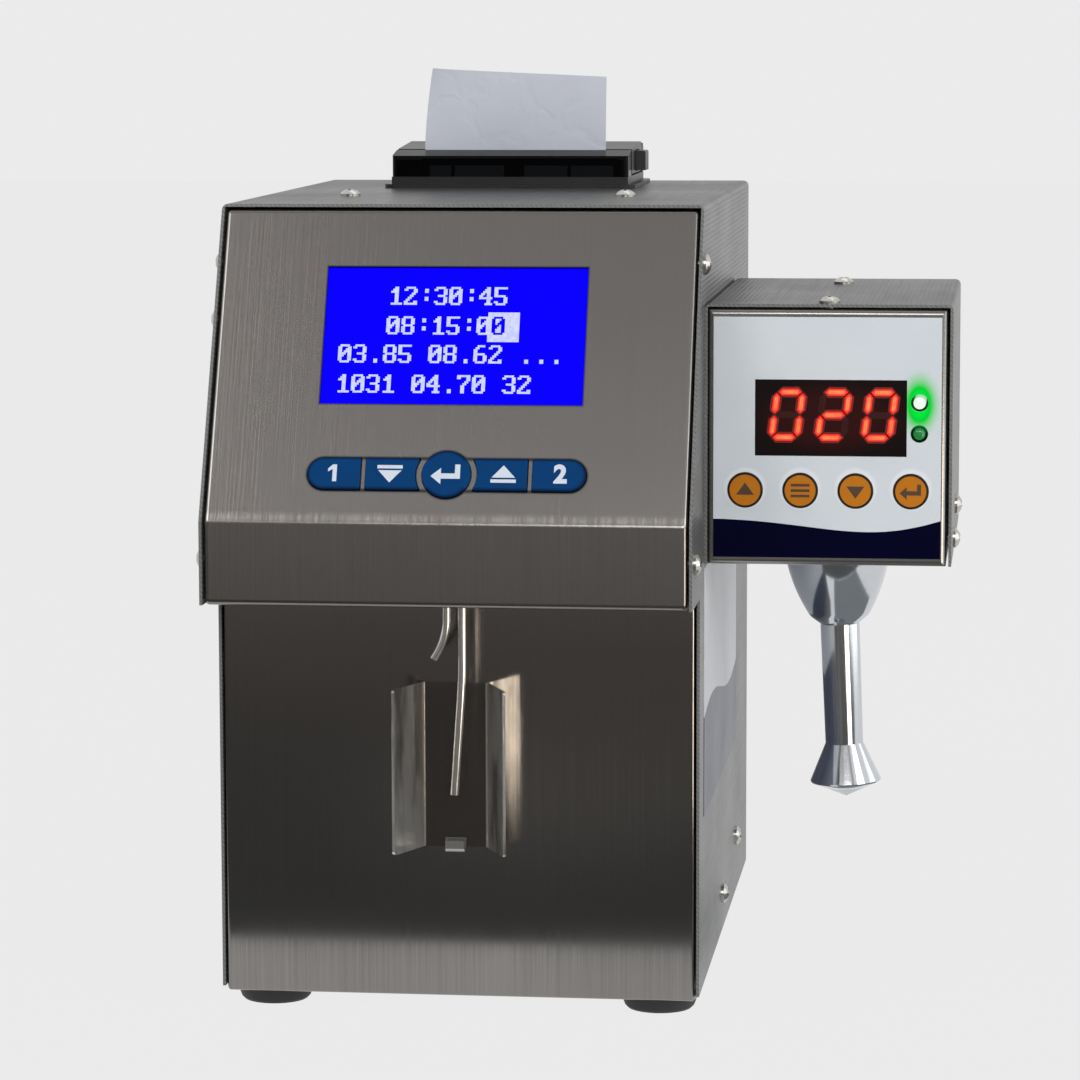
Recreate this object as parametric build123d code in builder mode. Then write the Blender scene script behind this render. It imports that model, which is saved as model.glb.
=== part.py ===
from build123d import *
from math import acos, atan2, cos, hypot, pi, radians, sin, tan
import os

os.makedirs("parts", exist_ok=True)

# Whole body: x runs from the body's middle, y from the front band backwards, z from the floor.
# Rear sets are measured forwards from the body's rear edge.
body_width = 134.0
body_depth = 218.0
body_height = 225.0
foot_height = 5.0
rear_reach = 5.0
running = 0.05
loose = 0.3
overrun = 5.0

# Cover: an inverted U of thin sheet with a stepped front edge
cover_sheet = 0.8
cover_lift = 1.5
cover_bend = 1.6
face_rise = 84.2
band_drop = 22.8
top_edge_set = 39.0
lower_face_set = 26.5

# Front, rear and base sheets
panel_sheet = 1.0
panel_gap = 0.5
panel_edge_round = 1.3
lower_edge_round = 0.9
lower_fold = 3.4
panel_recess = 0.3
panel_bend = 1.2
top_gap = 0.7
fold_depth = 12.0
return_depth = 8.0
lip_height = 6.5
base_side_gap = 0.3
base_flange = 25.0

# Pan head screws
screw_radius = 1.5
screw_head_radius = 2.9
screw_head_height = 2.1
screw_head_edge = 0.7
screw_length = 6.0
screw_cross_width = 0.8
screw_cross_length = 3.2
screw_cross_depth = 1.1
screw_hole_gap = 0.15
side_screw_slope = 78.0
side_screw_slope_lower = 61.0
side_screw_depth = 6.5
band_screw_set = 7.0
band_screw_drop = 10.8
base_screw_rear_sets = (51.0, 105.0)
base_screw_heights = (19.5, 12.6)
top_screw_spacing = 80.0
top_screw_set = 93.6

# Feet
foot_radius = 9.8
foot_top_radius = 11.4
foot_side_set = 12.3
foot_front_set = 42.4
foot_rear_set = 17.0
foot_recess_radius = 3.6
foot_recess_depth = 2.8
foot_round = 0.8

# Inner frame
frame_set = 64.0
frame_side_gap = 8.2
frame_foot = 14.0
frame_top_flange = 40.0
frame_window_width = 70.0
frame_window_height = 55.0
frame_window_drop = 30.0

# Liquid crystal display, measured along the tilted face from the crease
lcd_width = 72.0
lcd_height = 40.0
lcd_middle = 54.3
lcd_window_margin = 3.0
lcd_window_thickness = 1.5
lcd_bezel_margin_x = 4.0
lcd_bezel_margin_y = 6.0
lcd_bezel_depth = 6.0
lcd_recess = 1.0
lcd_board_width = 93.0
lcd_board_height = 70.0
board_thickness = 1.6
stud_radius = 1.75
stud_inset = 3.0

# Front keys, in one row on the tilted face
key_row_half = 38.0
key_row_middle = 14.1
key_height = 9.2
key_gap = 1.35
key_hollow_gap = 1.7
key_edge_gap = 0.2
key_outer_length = 14.6
key_round_radius = 6.7
key_proud = 0.9
key_body_depth = 2.4
key_flange_gap = 0.2
key_flange_thickness = 1.1
key_flange_reach = 1.3
key_flange_length = 7.0
key_round_flange_reach = 1.6
key_edge_round = 0.3
key_corner = 0.5
key_stem_radius = 1.75
key_travel = 0.8
switch_size = 6.0
switch_height = 3.0
switch_gap = 1.8
switch_well_spare = 0.6
switch_grip = 0.8
keypad_board_width = 95.0
keypad_board_height = 9.6
keypad_stud_x = 44.5

# Sample tubes and the block that holds them, with drops measured down from the band's lower edge
intake_x = 2.9
outlet_x = -1.3
tube_set = 12.5
tube_radius = 1.15
tube_bore = 0.8
tube_rise = 9.5
intake_bend_drop = 22.0
intake_end_x = 0.7
intake_end_drop = 53.4
intake_bend_radius = 150.0
outlet_bend_drop = 9.6
outlet_end_x = -4.9
outlet_end_drop = 15.8
outlet_bend_radius = 18.0
tube_block_width = 16.0
tube_block_depth = 9.0
tube_block_height = 5.5

# Sample tube holder: back web, two flared wings and a folded stop
holder_middle = -0.6
holder_web = 17.9
holder_wing_spread = 6.4
holder_wing_reach = 14.8
holder_drop = 24.2
holder_height = 46.0
holder_sheet = 0.8
holder_bend = 0.9
holder_corner = 0.9
holder_stop_width = 5.3
holder_stop_reach = 2.6
holder_stop_drop = 0.9
holder_stop_lip = 2.0

# Peristaltic pump on the inner frame, set in by a share of the width that pump and cell leave free
pump_side_share = 0.386364
pump_height = 67.0
pump_track_radius = 23.2
pump_wall = 4.8
pump_depth = 20.0
pump_back = 3.0
pump_lift = 18.0
hose_radius = 1.6
hose_loop_radius = 21.3
hose_bend = 6.0
hose_plane_depth = 13.0
roller_circle = 14.5
roller_radius = 5.0
roller_pin_radius = 1.5
roller_length = 10.0
roller_count = 3
rotor_disc_radius = 18.0
rotor_disc = 2.0
rotor_hub_radius = 7.0
rotor_end_gap = 0.2
shaft_radius = 3.0
shaft_grip = 8.0
motor_radius = 18.5
motor_length = 50.0
motor_neck_radius = 6.0

# Measuring cell on the inner frame, set in by a share of the same free width
cell_side_share = 0.348485
cell_width = 40.0
cell_depth = 22.0
cell_height = 30.0
cell_bottom = 65.0
cell_port_spacing = 28.0
cell_port_rise = 5.0
cell_port_radius = 1.15
crystal_radius = 10.0
crystal_thickness = 5.0
hose_cross_rise = 18.0
hose_run_rise = 16.0

# Main board above the base
main_board_width = 96.0
main_board_depth = 84.0
main_board_gap = 4.0
standoff_height = 6.0
standoff_radius = 3.0
standoff_inset = 5.0
chip_size = 20.0
chip_height = 2.5
capacitor_radius = 5.0
capacitor_height = 14.0
connector_width = 30.0
connector_depth = 8.0
connector_height = 9.0

# Panel printer on the cover's top; its inner sets are measured forwards from its rear edge
printer_x = -1.0
printer_width = 72.0
printer_rear_set = 15.0
printer_length = 50.3
printer_flange_width = 76.4
printer_flange_front = 1.7
printer_flange_rear = 1.7
printer_flange_thickness = 1.2
printer_rim = 2.2
printer_wall = 1.8
printer_corner = 3.0
tub_margin = 1.0
tub_wall = 1.6
tub_depth = 38.5
tub_front_margin = 1.5
bar_depth = 10.8
bar_front_height = 9.7
bar_rear_height = 11.2
bar_front_chamfer = 1.2
bar_corner = 2.2
bar_recess_width = 60.0
bar_recess_shift = 3.2
bar_recess_height = 4.4
bar_recess_depth = 0.8
bar_end = 3.0
bar_skin = 2.2
slot_width = 2.4
lid_front_height = 11.4
lid_seat_gap = 0.5
hinge_set = 9.2
hinge_height = 8.5
hinge_barrel_radius = 4.5
hinge_gap = 0.6
hinge_pin_radius = 1.5
hinge_pin_length = 2.0
ear_thickness = 2.2
ear_radius = 2.3
rear_block_top = 12.4
rear_block_round = 2.5
platen_radius = 3.2
platen_spindle_radius = 1.2
platen_set = 35.35
platen_height = 6.1
platen_length = 58.0
platen_ear = 2.0
platen_ear_half = 2.0
platen_ear_drop = 1.9
latch_set = 20.0
latch_length = 10.0
latch_low = 4.6
latch_high = 10.6
latch_inset = 1.7
latch_proud = 3.0
latch_pin_radius = 0.6
latch_pin_length = 1.0
latch_round = 0.6
snap_reach = 1.1
snap_height = 2.0
snap_length = 12.0
paper_width = 57.0
paper_thickness = 0.12
paper_set = 38.9
paper_rise = 24.5
paper_lean = 2.2
paper_bend = 20.0
paper_guide = 2.5
roll_radius = 17.5
roll_bore = 6.0
roll_set = 23.5
head_width = 58.0
head_height = 11.0
head_gap = 0.2

# Rear panel fittings
rear_recess = 1.0
rocker_x = -40.0
rocker_z = 40.0
rocker_width = 11.0
rocker_height = 16.2
rocker_frame_rim = 2.0
rocker_frame_proud = 1.6
rocker_frame_depth = 14.0
rocker_frame_wall = 1.6
rocker_gap = 0.4
rocker_end_gap = 0.8
rocker_tilt = 9.0
rocker_pin_radius = 1.2
rocker_pivot_depth = 3.5
rocker_root = 4.0
inlet_x = 40.0
inlet_z = 30.0
inlet_nose_radius = 4.5
inlet_bore = 2.8
inlet_bore_depth = 9.5
inlet_pin_radius = 1.05
inlet_body = 13.0
inlet_body_depth = 12.0
inlet_proud = 1.0
port_x = 4.0
port_z = 32.0
port_flange_width = 30.8
port_flange_height = 12.5
port_flange_thickness = 0.8
port_shell_width = 17.5
port_shell_height = 8.8
port_shell_reach = 5.0
port_shell_wall = 0.6
port_shell_corner = 2.2
port_body_depth = 9.0
port_contact_radius = 0.5
port_contact_pitch = 2.77
port_row_offset = 1.42
port_row_counts = (5, 4)
vent_slot_length = 40.0
vent_slot_width = 2.4
vent_slot_pitch = 7.0
vent_slot_count = 6
vent_z = 120.0

# Label on the cover's right side
label_front_set = 41.5
label_rear_set = 52.0
label_bottom = 49.5
label_top_gap = 1.2
label_thickness = 0.15

# Stirrer box on the cover's right side
stirrer_width = 68.1
stirrer_set = 41.2
stirrer_depth = 117.1
stirrer_drop = 27.2
stirrer_height = 72.1
tray_set_forward = 0.6
tray_gap_left = 0.2
tray_gap_right = 0.7
tray_top_gap = 0.5
tray_round = 1.5
tray_return = 7.0
tray_side_flange = 16.0
tray_top_flange = 30.0
stirrer_top_screw_sets = (6.0, 92.0)
stirrer_side_screw_sets = (53.8, 26.6)
stirrer_side_screw_heights = (11.3, 4.9)
stirrer_joint_sets = (28.0, 98.0)
stirrer_joint_heights = (24.0, 56.0)
overlay_width = 62.6
overlay_height = 66.5
overlay_thickness = 0.2
window_width = 41.6
window_height = 21.0
window_x = 1.0
window_z = 5.5
window_thickness = 2.2
digit_width = 37.6
digit_height = 19.0
digit_front_gap = 0.3
led_x = 25.3
led_z = (9.8, 1.3)
led_radius = 1.7
led_hole_gap = 0.7
led_proud = 0.8
led_dome = 1.2
stirrer_key_radius = 4.85
stirrer_key_count = 4
stirrer_key_pitch = 15.2
stirrer_key_x = 0.3
stirrer_key_z = -14.6
stirrer_key_gap = 0.1
stirrer_key_proud = 0.35
stirrer_key_flange = 0.7
stirrer_key_flange_thickness = 0.8
stirrer_key_edge = 0.25
stirrer_switch_height = 5.5
stirrer_board_depth = 10.0
stirrer_board_width = 58.0
stirrer_board_height = 62.0
stirrer_stud_inset = 2.5

# Ultrasonic horn and its driving stack, with drops measured down from the box's bottom
horn_lean = 2.44
horn_mouth_radius = 15.6
horn_hole_gap = 0.6
horn_bell_radius = 12.9
horn_bell_drop = 12.9
horn_heel_radius = 8.6
horn_heel_drop = 22.0
horn_neck_radius = 5.7
horn_neck_drop = 24.4
horn_rod_radius = 5.5
horn_rod_drop = 59.6
horn_tip_radius = 10.3
horn_tip_drop = 70.5
horn_tip_round = 0.7
horn_point_drop = 75.4
horn_flange_radius = 19.5
horn_flange_thickness = 4.0
horn_upper_radius = 15.5
horn_upper_length = 12.0
gasket_height = 2.6
ring_radius = 15.0
ring_bore = 5.5
ring_thickness = 5.0
ring_count = 2
back_radius = 15.0
back_length = 14.0
bolt_radius = 4.0
bolt_head_radius = 6.0
bolt_head_height = 6.0

# Places worked out from the sizes
body_x = -stirrer_width / 2
front_y = -(body_depth + rear_reach) / 2
half_width = body_width / 2
crease_z = body_height - face_rise
band_bottom_z = crease_z - band_drop
base_top = foot_height + panel_sheet
cover_under = body_height - cover_sheet
inner_half = half_width - cover_sheet
panel_half = inner_half - panel_gap
slope_angle = atan2(top_edge_set, body_height - crease_z)
slope = tan(slope_angle)
switch_well_depth = switch_grip + key_travel + switch_well_spare


def back(distance):
    """The y of a place this far behind the front band."""
    return front_y + distance


def ahead(distance):
    """The y of a place this far forwards of the rear edge."""
    return back(body_depth) - distance


def level(z):
    return Plane(origin=(body_x, 0, z))


def facing_front(y):
    return Plane(origin=(body_x, y, 0), x_dir=(1, 0, 0), z_dir=(0, -1, 0))


def facing_back(y):
    return Plane(origin=(body_x, y, 0), x_dir=(-1, 0, 0), z_dir=(0, 1, 0))


def facing_right(x):
    return Plane(origin=(body_x + x, 0, 0), x_dir=(0, 1, 0), z_dir=(1, 0, 0))


def facing_left(x):
    return Plane(origin=(body_x + x, 0, 0), x_dir=(0, -1, 0), z_dir=(-1, 0, 0))


tilted = Plane(
    origin=(body_x, front_y + panel_recess, crease_z),
    x_dir=(1, 0, 0),
    z_dir=(0, -cos(slope_angle), sin(slope_angle)),
)


def under_tilt(depth):
    """The plane this far behind the tilted face."""
    return tilted.offset(-depth)


def span(left, right, low, high, mode=Mode.ADD):
    """A rectangle between two pairs of sides."""
    with Locations(((left + right) / 2, (low + high) / 2)):
        Rectangle(right - left, high - low, mode=mode)


def bent_sheet(points, radius, thickness, mode=Mode.ADD):
    """The face of a sheet bent along a line of points."""
    with BuildLine() as middle:
        FilletPolyline(*points, radius=radius)
    trace(middle.edges(), line_width=thickness, mode=mode)


def tube_along(route, outside, bore):
    """A tube swept along a route, from its first point."""
    with BuildSketch(Plane(route @ 0, z_dir=route % 0)) as section:
        Circle(outside)
        Circle(bore, mode=Mode.SUBTRACT)
    sweep(section.sketch, path=route)


def pan_screw(seat, length=screw_length):
    """A pan head screw whose head sits on the seat plane."""
    with BuildSketch(Plane(origin=seat.origin, x_dir=seat.x_dir, z_dir=-seat.y_dir)) as half_head:
        with BuildLine() as side_line:
            Polyline((0, screw_head_height), (0, 0), (screw_head_radius, 0),
                     (screw_head_radius, screw_head_edge))
            TangentArc((0, screw_head_height), (screw_head_radius, screw_head_edge), tangent=(1, 0))
        make_face(side_line.edges())
    revolve(half_head.sketch, axis=Axis(seat.origin, seat.z_dir))
    with BuildSketch(seat.offset(screw_head_height)) as cross:
        Rectangle(screw_cross_length, screw_cross_width)
        Rectangle(screw_cross_width, screw_cross_length)
    extrude(cross.sketch, amount=-screw_cross_depth, mode=Mode.SUBTRACT)
    with BuildSketch(seat) as shank:
        Circle(screw_radius)
    extrude(shank.sketch, amount=-length)


def holes(places, radius, depth):
    """Round holes down from planes on a sheet's face."""
    for place in places:
        with BuildSketch(place) as hole:
            Circle(radius)
        extrude(hole.sketch, amount=-depth, mode=Mode.SUBTRACT)


def keep(piece, name):
    piece.part.label = name
    export_step(piece.part, f"parts/{name}.step")


def moved_to(plane, u, v):
    """The plane with its origin moved within itself."""
    return Plane(
        origin=plane.from_local_coords((u, v, 0)), x_dir=plane.x_dir, z_dir=plane.z_dir
    )


# Screw places shared by the cover and what it is screwed to
upper_screw = tilted.from_local_coords((0, side_screw_slope, -side_screw_depth))
middle_screw = tilted.from_local_coords((0, side_screw_slope_lower, -side_screw_depth))
flange_screws = [(upper_screw.Y, upper_screw.Z), (back(band_screw_set), crease_z - band_screw_drop)]
base_screws = [
    (ahead(distance), foot_height + height)
    for distance, height in zip(base_screw_rear_sets, base_screw_heights)
]
extra_screw = (middle_screw.Y, middle_screw.Z)
right_screws = [moved_to(facing_right(half_width), *place) for place in flange_screws + base_screws]
left_screws = [
    moved_to(facing_left(-half_width), -y, z)
    for y, z in flange_screws + base_screws + [extra_screw]
]
top_screws = [
    moved_to(level(body_height), side * top_screw_spacing / 2, back(top_screw_set))
    for side in (-1, 1)
]
foot_places = [
    (side * (half_width - foot_side_set), y)
    for side in (-1, 1)
    for y in (back(foot_front_set), ahead(foot_rear_set))
]
screw_hole = screw_radius + screw_hole_gap

# Stirrer box places
stirrer_left = half_width
stirrer_right = half_width + stirrer_width
stirrer_top = body_height - stirrer_drop
stirrer_low = stirrer_top - stirrer_height
stirrer_front = back(stirrer_set)
stirrer_rear = stirrer_front + stirrer_depth
joint_places = [
    (stirrer_front + distance, stirrer_low + height)
    for distance in stirrer_joint_sets
    for height in stirrer_joint_heights
]
joint_screws = [moved_to(facing_left(inner_half), -y, z) for y, z in joint_places]
joint_holes = [moved_to(facing_right(half_width), *place) for place in joint_places]

# Printer places
printer_rear = ahead(printer_rear_set)
printer_front = printer_rear - printer_length
tub_half = printer_width / 2 - tub_margin
tub_front = printer_front + tub_front_margin
tub_rear = printer_rear - tub_front_margin
flange_top = body_height + printer_flange_thickness
rim_top = flange_top + printer_rim
hinge_y = printer_rear - hinge_set
hinge_z = body_height + hinge_height
skirt_bottom = rim_top + lid_seat_gap

# Cover
side_outline = [
    (back(top_edge_set), body_height),
    (front_y, crease_z),
    (front_y, band_bottom_z),
    (back(lower_face_set), band_bottom_z),
    (back(lower_face_set), foot_height + cover_lift),
    (back(body_depth), foot_height + cover_lift),
    (back(body_depth), body_height),
]
with BuildPart() as cover:
    with BuildSketch(facing_right(-half_width)):
        with BuildLine():
            Polyline(*side_outline, close=True)
        make_face()
    extrude(amount=body_width)
    long_edges = cover.edges().filter_by(Axis.X, reverse=True).filter_by(Axis.Y)
    fillet(long_edges.group_by(Axis.Z)[-1], radius=cover_bend)
    with BuildSketch(facing_right(-inner_half)):
        span(front_y - overrun, back(body_depth) + overrun, 0, cover_under)
    extrude(amount=2 * inner_half, mode=Mode.SUBTRACT)
    holes(right_screws + left_screws + top_screws + joint_holes, screw_hole, cover_sheet)
    with BuildSketch(level(body_height)):
        opening = tub_half + loose
        span(printer_x - opening, printer_x + opening, tub_front - loose, tub_rear + loose)
    extrude(amount=-cover_sheet, mode=Mode.SUBTRACT)
keep(cover, "cover")

# Base plate with side flanges
base_half = inner_half - base_side_gap
panel_half_sheet = panel_sheet / 2
lower_y = back(lower_face_set) + panel_half_sheet
base_front = lower_y + lower_fold
base_rear = ahead(rear_recess)
with BuildPart() as base_plate:
    with BuildSketch(level(foot_height)):
        span(-base_half, base_half, base_front, base_rear)
    extrude(amount=panel_sheet)
    for side in (-1, 1):
        edge = side * base_half
        inner = edge - side * panel_sheet
        with BuildSketch(level(foot_height)):
            span(min(edge, inner), max(edge, inner),
                 base_front + fold_depth + panel_sheet, base_rear - fold_depth - panel_sheet)
        extrude(amount=base_flange)
    base_seats = [moved_to(facing_right(base_half), *place) for place in base_screws]
    base_seats += [moved_to(facing_left(-base_half), -y, z) for y, z in base_screws]
    holes(base_seats, screw_radius + running, panel_sheet)
    holes([moved_to(level(base_top), *place) for place in foot_places],
          screw_radius + running, panel_sheet)
keep(base_plate, "base_plate")

# Lower front panel, bent back against the base plate's edge, with folded sides
with BuildPart() as lower_panel:
    with BuildSketch(facing_right(-panel_half)):
        bent_sheet(
            [
                (lower_y, band_bottom_z + lip_height),
                (lower_y, foot_height + panel_half_sheet),
                (base_front, foot_height + panel_half_sheet),
            ],
            panel_bend,
            panel_sheet,
        )
    extrude(amount=2 * panel_half)
    for side in (-1, 1):
        edge = side * panel_half
        inner = edge - side * panel_sheet
        with BuildSketch(facing_front(lower_y + return_depth)):
            span(min(edge, inner), max(edge, inner), base_top + panel_sheet + panel_bend, band_bottom_z)
        extrude(amount=return_depth)
        side_edges = lower_panel.edges().filter_by(Axis.Z).filter_by_position(
            Axis.X, body_x + edge - running, body_x + edge + running)
        fillet(side_edges.sort_by(Axis.Y)[0], radius=lower_edge_round)
keep(lower_panel, "lower_panel")

# Head panel: top lip, tilted face, band and underside bent from one sheet
top_z = cover_under - top_gap - panel_half_sheet


def tilted_y(z, depth):
    """The y of the tilted sheet at this height and depth behind its face."""
    return front_y + panel_recess + (z - crease_z) * slope + depth / cos(slope_angle)


band_y = front_y + panel_recess + panel_half_sheet
crease_middle_z = crease_z + (panel_half_sheet - panel_half_sheet / cos(slope_angle)) / slope
board_front = panel_sheet + lcd_window_thickness + lcd_bezel_depth
switch_front = panel_sheet + key_flange_gap + key_flange_thickness + switch_gap
keypad_front = switch_front + switch_height
outer_edge = key_row_half - key_outer_length
inner_edge = outer_edge - key_gap
hollow_radius = key_round_radius + key_hollow_gap
key_low = key_row_middle - key_height / 2
key_high = key_row_middle + key_height / 2
key_spans = {
    "key_one": (-key_row_half, -outer_edge),
    "key_down": (-inner_edge, 0),
    "key_up": (0, inner_edge),
    "key_two": (outer_edge, key_row_half),
}


def key_form(left, right, margin):
    """A front key's outline, made larger by a margin."""
    with Locations((0, key_row_middle)):
        SlotOverall(2 * (key_row_half + margin), key_height + 2 * margin)
        Circle(hollow_radius - margin, mode=Mode.SUBTRACT)
    span(left - margin, right + margin, key_low - margin, key_high + margin, mode=Mode.INTERSECT)


head_line = [
    (tilted_y(top_z, panel_half_sheet) + fold_depth, top_z),
    (tilted_y(top_z, panel_half_sheet), top_z),
    (band_y, crease_middle_z),
    (band_y, band_bottom_z + panel_half_sheet),
    (lower_y - panel_sheet, band_bottom_z + panel_half_sheet),
    (lower_y - panel_sheet, band_bottom_z + lip_height),
]


def head_side():
    """The area between the bent line of the head panel and its open rear."""
    with BuildLine() as outline:
        bent = FilletPolyline(*head_line, radius=panel_bend)
        Polyline(
            bent @ 1,
            (lower_y - panel_sheet - return_depth, band_bottom_z + lip_height),
            (tilted_y(top_z, panel_half_sheet) + fold_depth, top_z - return_depth),
            bent @ 0,
        )
    make_face(outline.edges())


with BuildPart() as head_panel:
    with BuildSketch(facing_right(-panel_half)):
        head_side()
        bent_sheet(head_line, panel_bend, panel_sheet)
    extrude(amount=2 * panel_half)
    fillet(head_panel.edges().filter_by(Axis.Z).group_by(Axis.Y)[0], radius=panel_edge_round)
    with BuildSketch(facing_right(panel_sheet - panel_half)):
        head_side()
        bent_sheet(head_line, panel_bend, panel_sheet, mode=Mode.SUBTRACT)
    extrude(amount=2 * (panel_half - panel_sheet), mode=Mode.SUBTRACT)
    with BuildSketch(tilted):
        with Locations((0, lcd_middle)):
            Rectangle(lcd_width, lcd_height)
        with Locations((0, key_row_middle)):
            Circle(key_round_radius + key_edge_gap)
    extrude(amount=-(panel_sheet + panel_recess), mode=Mode.SUBTRACT)
    for left, right in key_spans.values():
        with BuildSketch(tilted) as key_window:
            key_form(left, right, key_edge_gap)
            fillet(key_window.vertices(), radius=key_corner)
        extrude(amount=-(panel_sheet + panel_recess), mode=Mode.SUBTRACT)
    for side in (-1, 1):
        for low in (lcd_middle - lcd_board_height / 2, lcd_middle + lcd_board_height / 2):
            inset = stud_inset if low < lcd_middle else -stud_inset
            with BuildSketch(under_tilt(panel_half_sheet)):
                with Locations((side * (lcd_board_width / 2 - stud_inset), low + inset)):
                    Circle(stud_radius)
            extrude(amount=-(board_front - panel_half_sheet))
        with BuildSketch(under_tilt(panel_half_sheet)):
            with Locations((side * keypad_stud_x, key_row_middle)):
                Circle(stud_radius)
        extrude(amount=-(keypad_front - panel_half_sheet))
    flange_seats = [moved_to(facing_right(panel_half), *place) for place in flange_screws]
    flange_seats += [moved_to(facing_left(-panel_half), -y, z)
                     for y, z in flange_screws + [extra_screw]]
    holes(flange_seats, screw_radius + running, panel_sheet)
    tube_y = back(lower_face_set) - tube_set
    holes([moved_to(level(band_bottom_z + panel_sheet), x, tube_y) for x in (intake_x, outlet_x)],
          tube_radius + running, panel_sheet)
keep(head_panel, "head_panel")

# Rear panel with its fittings' cut-outs and vents
rear_face = ahead(rear_recess)
rear_y = rear_face - panel_half_sheet
rear_top = cover_under - top_gap - panel_half_sheet
rear_flange_z = base_top + panel_half_sheet
with BuildPart() as rear_panel:
    with BuildSketch(facing_right(-panel_half)):
        bent_sheet(
            [
                (rear_y - fold_depth, rear_flange_z),
                (rear_y, rear_flange_z),
                (rear_y, rear_top),
                (rear_y - fold_depth, rear_top),
            ],
            panel_bend,
            panel_sheet,
        )
    extrude(amount=2 * panel_half)
    with BuildSketch(facing_front(rear_face)):
        with Locations((rocker_x, foot_height + rocker_z)):
            Rectangle(rocker_width + 2 * (rocker_gap + rocker_frame_wall) + loose,
                      rocker_height + 2 * (rocker_end_gap + rocker_frame_wall) + loose)
        with Locations((inlet_x, foot_height + inlet_z)):
            Circle(inlet_nose_radius + running)
        with Locations((port_x, foot_height + port_z)):
            RectangleRounded(port_shell_width + loose, port_shell_height + loose,
                             radius=port_shell_corner)
        with Locations((0, foot_height + vent_z)):
            with GridLocations(0, vent_slot_pitch, 1, vent_slot_count):
                SlotOverall(vent_slot_length, vent_slot_width)
    extrude(amount=panel_sheet, mode=Mode.SUBTRACT)
keep(rear_panel, "rear_panel")

# Inner frame: an upright bulkhead with a foot and a top flange
frame_y = back(frame_set)
frame_half_width = inner_half - frame_side_gap
housing_half = pump_track_radius + pump_wall
cell_half = cell_width / 2 + crystal_thickness
free_width = 2 * (inner_half - housing_half - cell_half)
pump_x = housing_half + pump_side_share * free_width - inner_half
cell_x = inner_half - cell_side_share * free_width - cell_half
with BuildPart() as inner_frame:
    with BuildSketch(facing_right(-frame_half_width)):
        bent_sheet(
            [
                (frame_y + frame_foot, base_top + panel_half_sheet),
                (frame_y + panel_half_sheet, base_top + panel_half_sheet),
                (frame_y + panel_half_sheet, cover_under - panel_half_sheet),
                (frame_y + frame_top_flange, cover_under - panel_half_sheet),
            ],
            panel_bend,
            panel_sheet,
        )
    extrude(amount=2 * frame_half_width)
    with BuildSketch(facing_front(frame_y)):
        with Locations((0, body_height - frame_window_drop - frame_window_height / 2)):
            Rectangle(frame_window_width, frame_window_height)
        with Locations((pump_x, foot_height + pump_height)):
            Circle(motor_neck_radius + loose)
    extrude(amount=-panel_sheet, mode=Mode.SUBTRACT)
    holes([moved_to(level(cover_under), place.origin.X - body_x, place.origin.Y)
           for place in top_screws], screw_radius + running, panel_sheet)
keep(inner_frame, "inner_frame")

# Every pan head screw of the cover, feet and stirrer box
stirrer_side_screws = [
    moved_to(facing_right(stirrer_right), stirrer_front + distance, stirrer_low + height)
    for distance, height in zip(stirrer_side_screw_sets, stirrer_side_screw_heights)
]
stirrer_top_screws = [
    moved_to(level(stirrer_top), (stirrer_left + stirrer_right) / 2, stirrer_front + distance)
    for distance in stirrer_top_screw_sets
]
foot_screws = [
    Plane(origin=(body_x + x, y, foot_recess_depth), x_dir=(1, 0, 0), z_dir=(0, 0, -1))
    for x, y in foot_places
]
with BuildPart() as case_screws:
    for seat in right_screws + left_screws + top_screws + joint_screws + foot_screws:
        pan_screw(seat)
    for seat in stirrer_side_screws + stirrer_top_screws:
        pan_screw(seat)
keep(case_screws, "case_screws")

# Feet
with BuildPart() as feet:
    for x, y in foot_places:
        with BuildSketch(moved_to(level(foot_height), x, y)):
            Circle(foot_top_radius)
        with BuildSketch(moved_to(level(foot_round), x, y)):
            Circle(foot_radius)
        loft()
        with BuildSketch(moved_to(level(0), x, y)):
            Circle(foot_radius - foot_round)
        with BuildSketch(moved_to(level(foot_round), x, y)):
            Circle(foot_radius)
        loft()
        with BuildSketch(moved_to(level(0), x, y)):
            Circle(foot_recess_radius)
        extrude(amount=foot_recess_depth, mode=Mode.SUBTRACT)
        with BuildSketch(moved_to(level(0), x, y)):
            Circle(screw_hole)
        extrude(amount=foot_height, mode=Mode.SUBTRACT)
keep(feet, "feet")

# Display: window, metal bezel and board behind the tilted face
with BuildPart() as lcd_window:
    with BuildSketch(under_tilt(panel_sheet)):
        with Locations((0, lcd_middle)):
            Rectangle(lcd_width + 2 * lcd_window_margin, lcd_height + 2 * lcd_window_margin)
    extrude(amount=-lcd_window_thickness)
keep(lcd_window, "lcd_window")

with BuildPart() as lcd_bezel:
    with BuildSketch(under_tilt(panel_sheet + lcd_window_thickness)):
        with Locations((0, lcd_middle)):
            Rectangle(lcd_width + 2 * lcd_bezel_margin_x, lcd_height + 2 * lcd_bezel_margin_y)
    extrude(amount=-lcd_bezel_depth)
    with BuildSketch(under_tilt(panel_sheet + lcd_window_thickness)):
        with Locations((0, lcd_middle)):
            Rectangle(lcd_width + lcd_recess, lcd_height + lcd_recess)
    extrude(amount=-lcd_recess, mode=Mode.SUBTRACT)
keep(lcd_bezel, "lcd_bezel")

with BuildPart() as lcd_board:
    with BuildSketch(under_tilt(board_front)):
        with Locations((0, lcd_middle)):
            Rectangle(lcd_board_width, lcd_board_height)
    extrude(amount=-board_thickness)
    with BuildSketch(under_tilt(board_front + board_thickness)):
        with Locations((0, lcd_middle)):
            Rectangle(connector_width, connector_depth)
            with GridLocations(chip_size * 2, 0, 2, 1):
                Rectangle(connector_depth, connector_depth)
    extrude(amount=-chip_height)
keep(lcd_board, "lcd_board")

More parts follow.
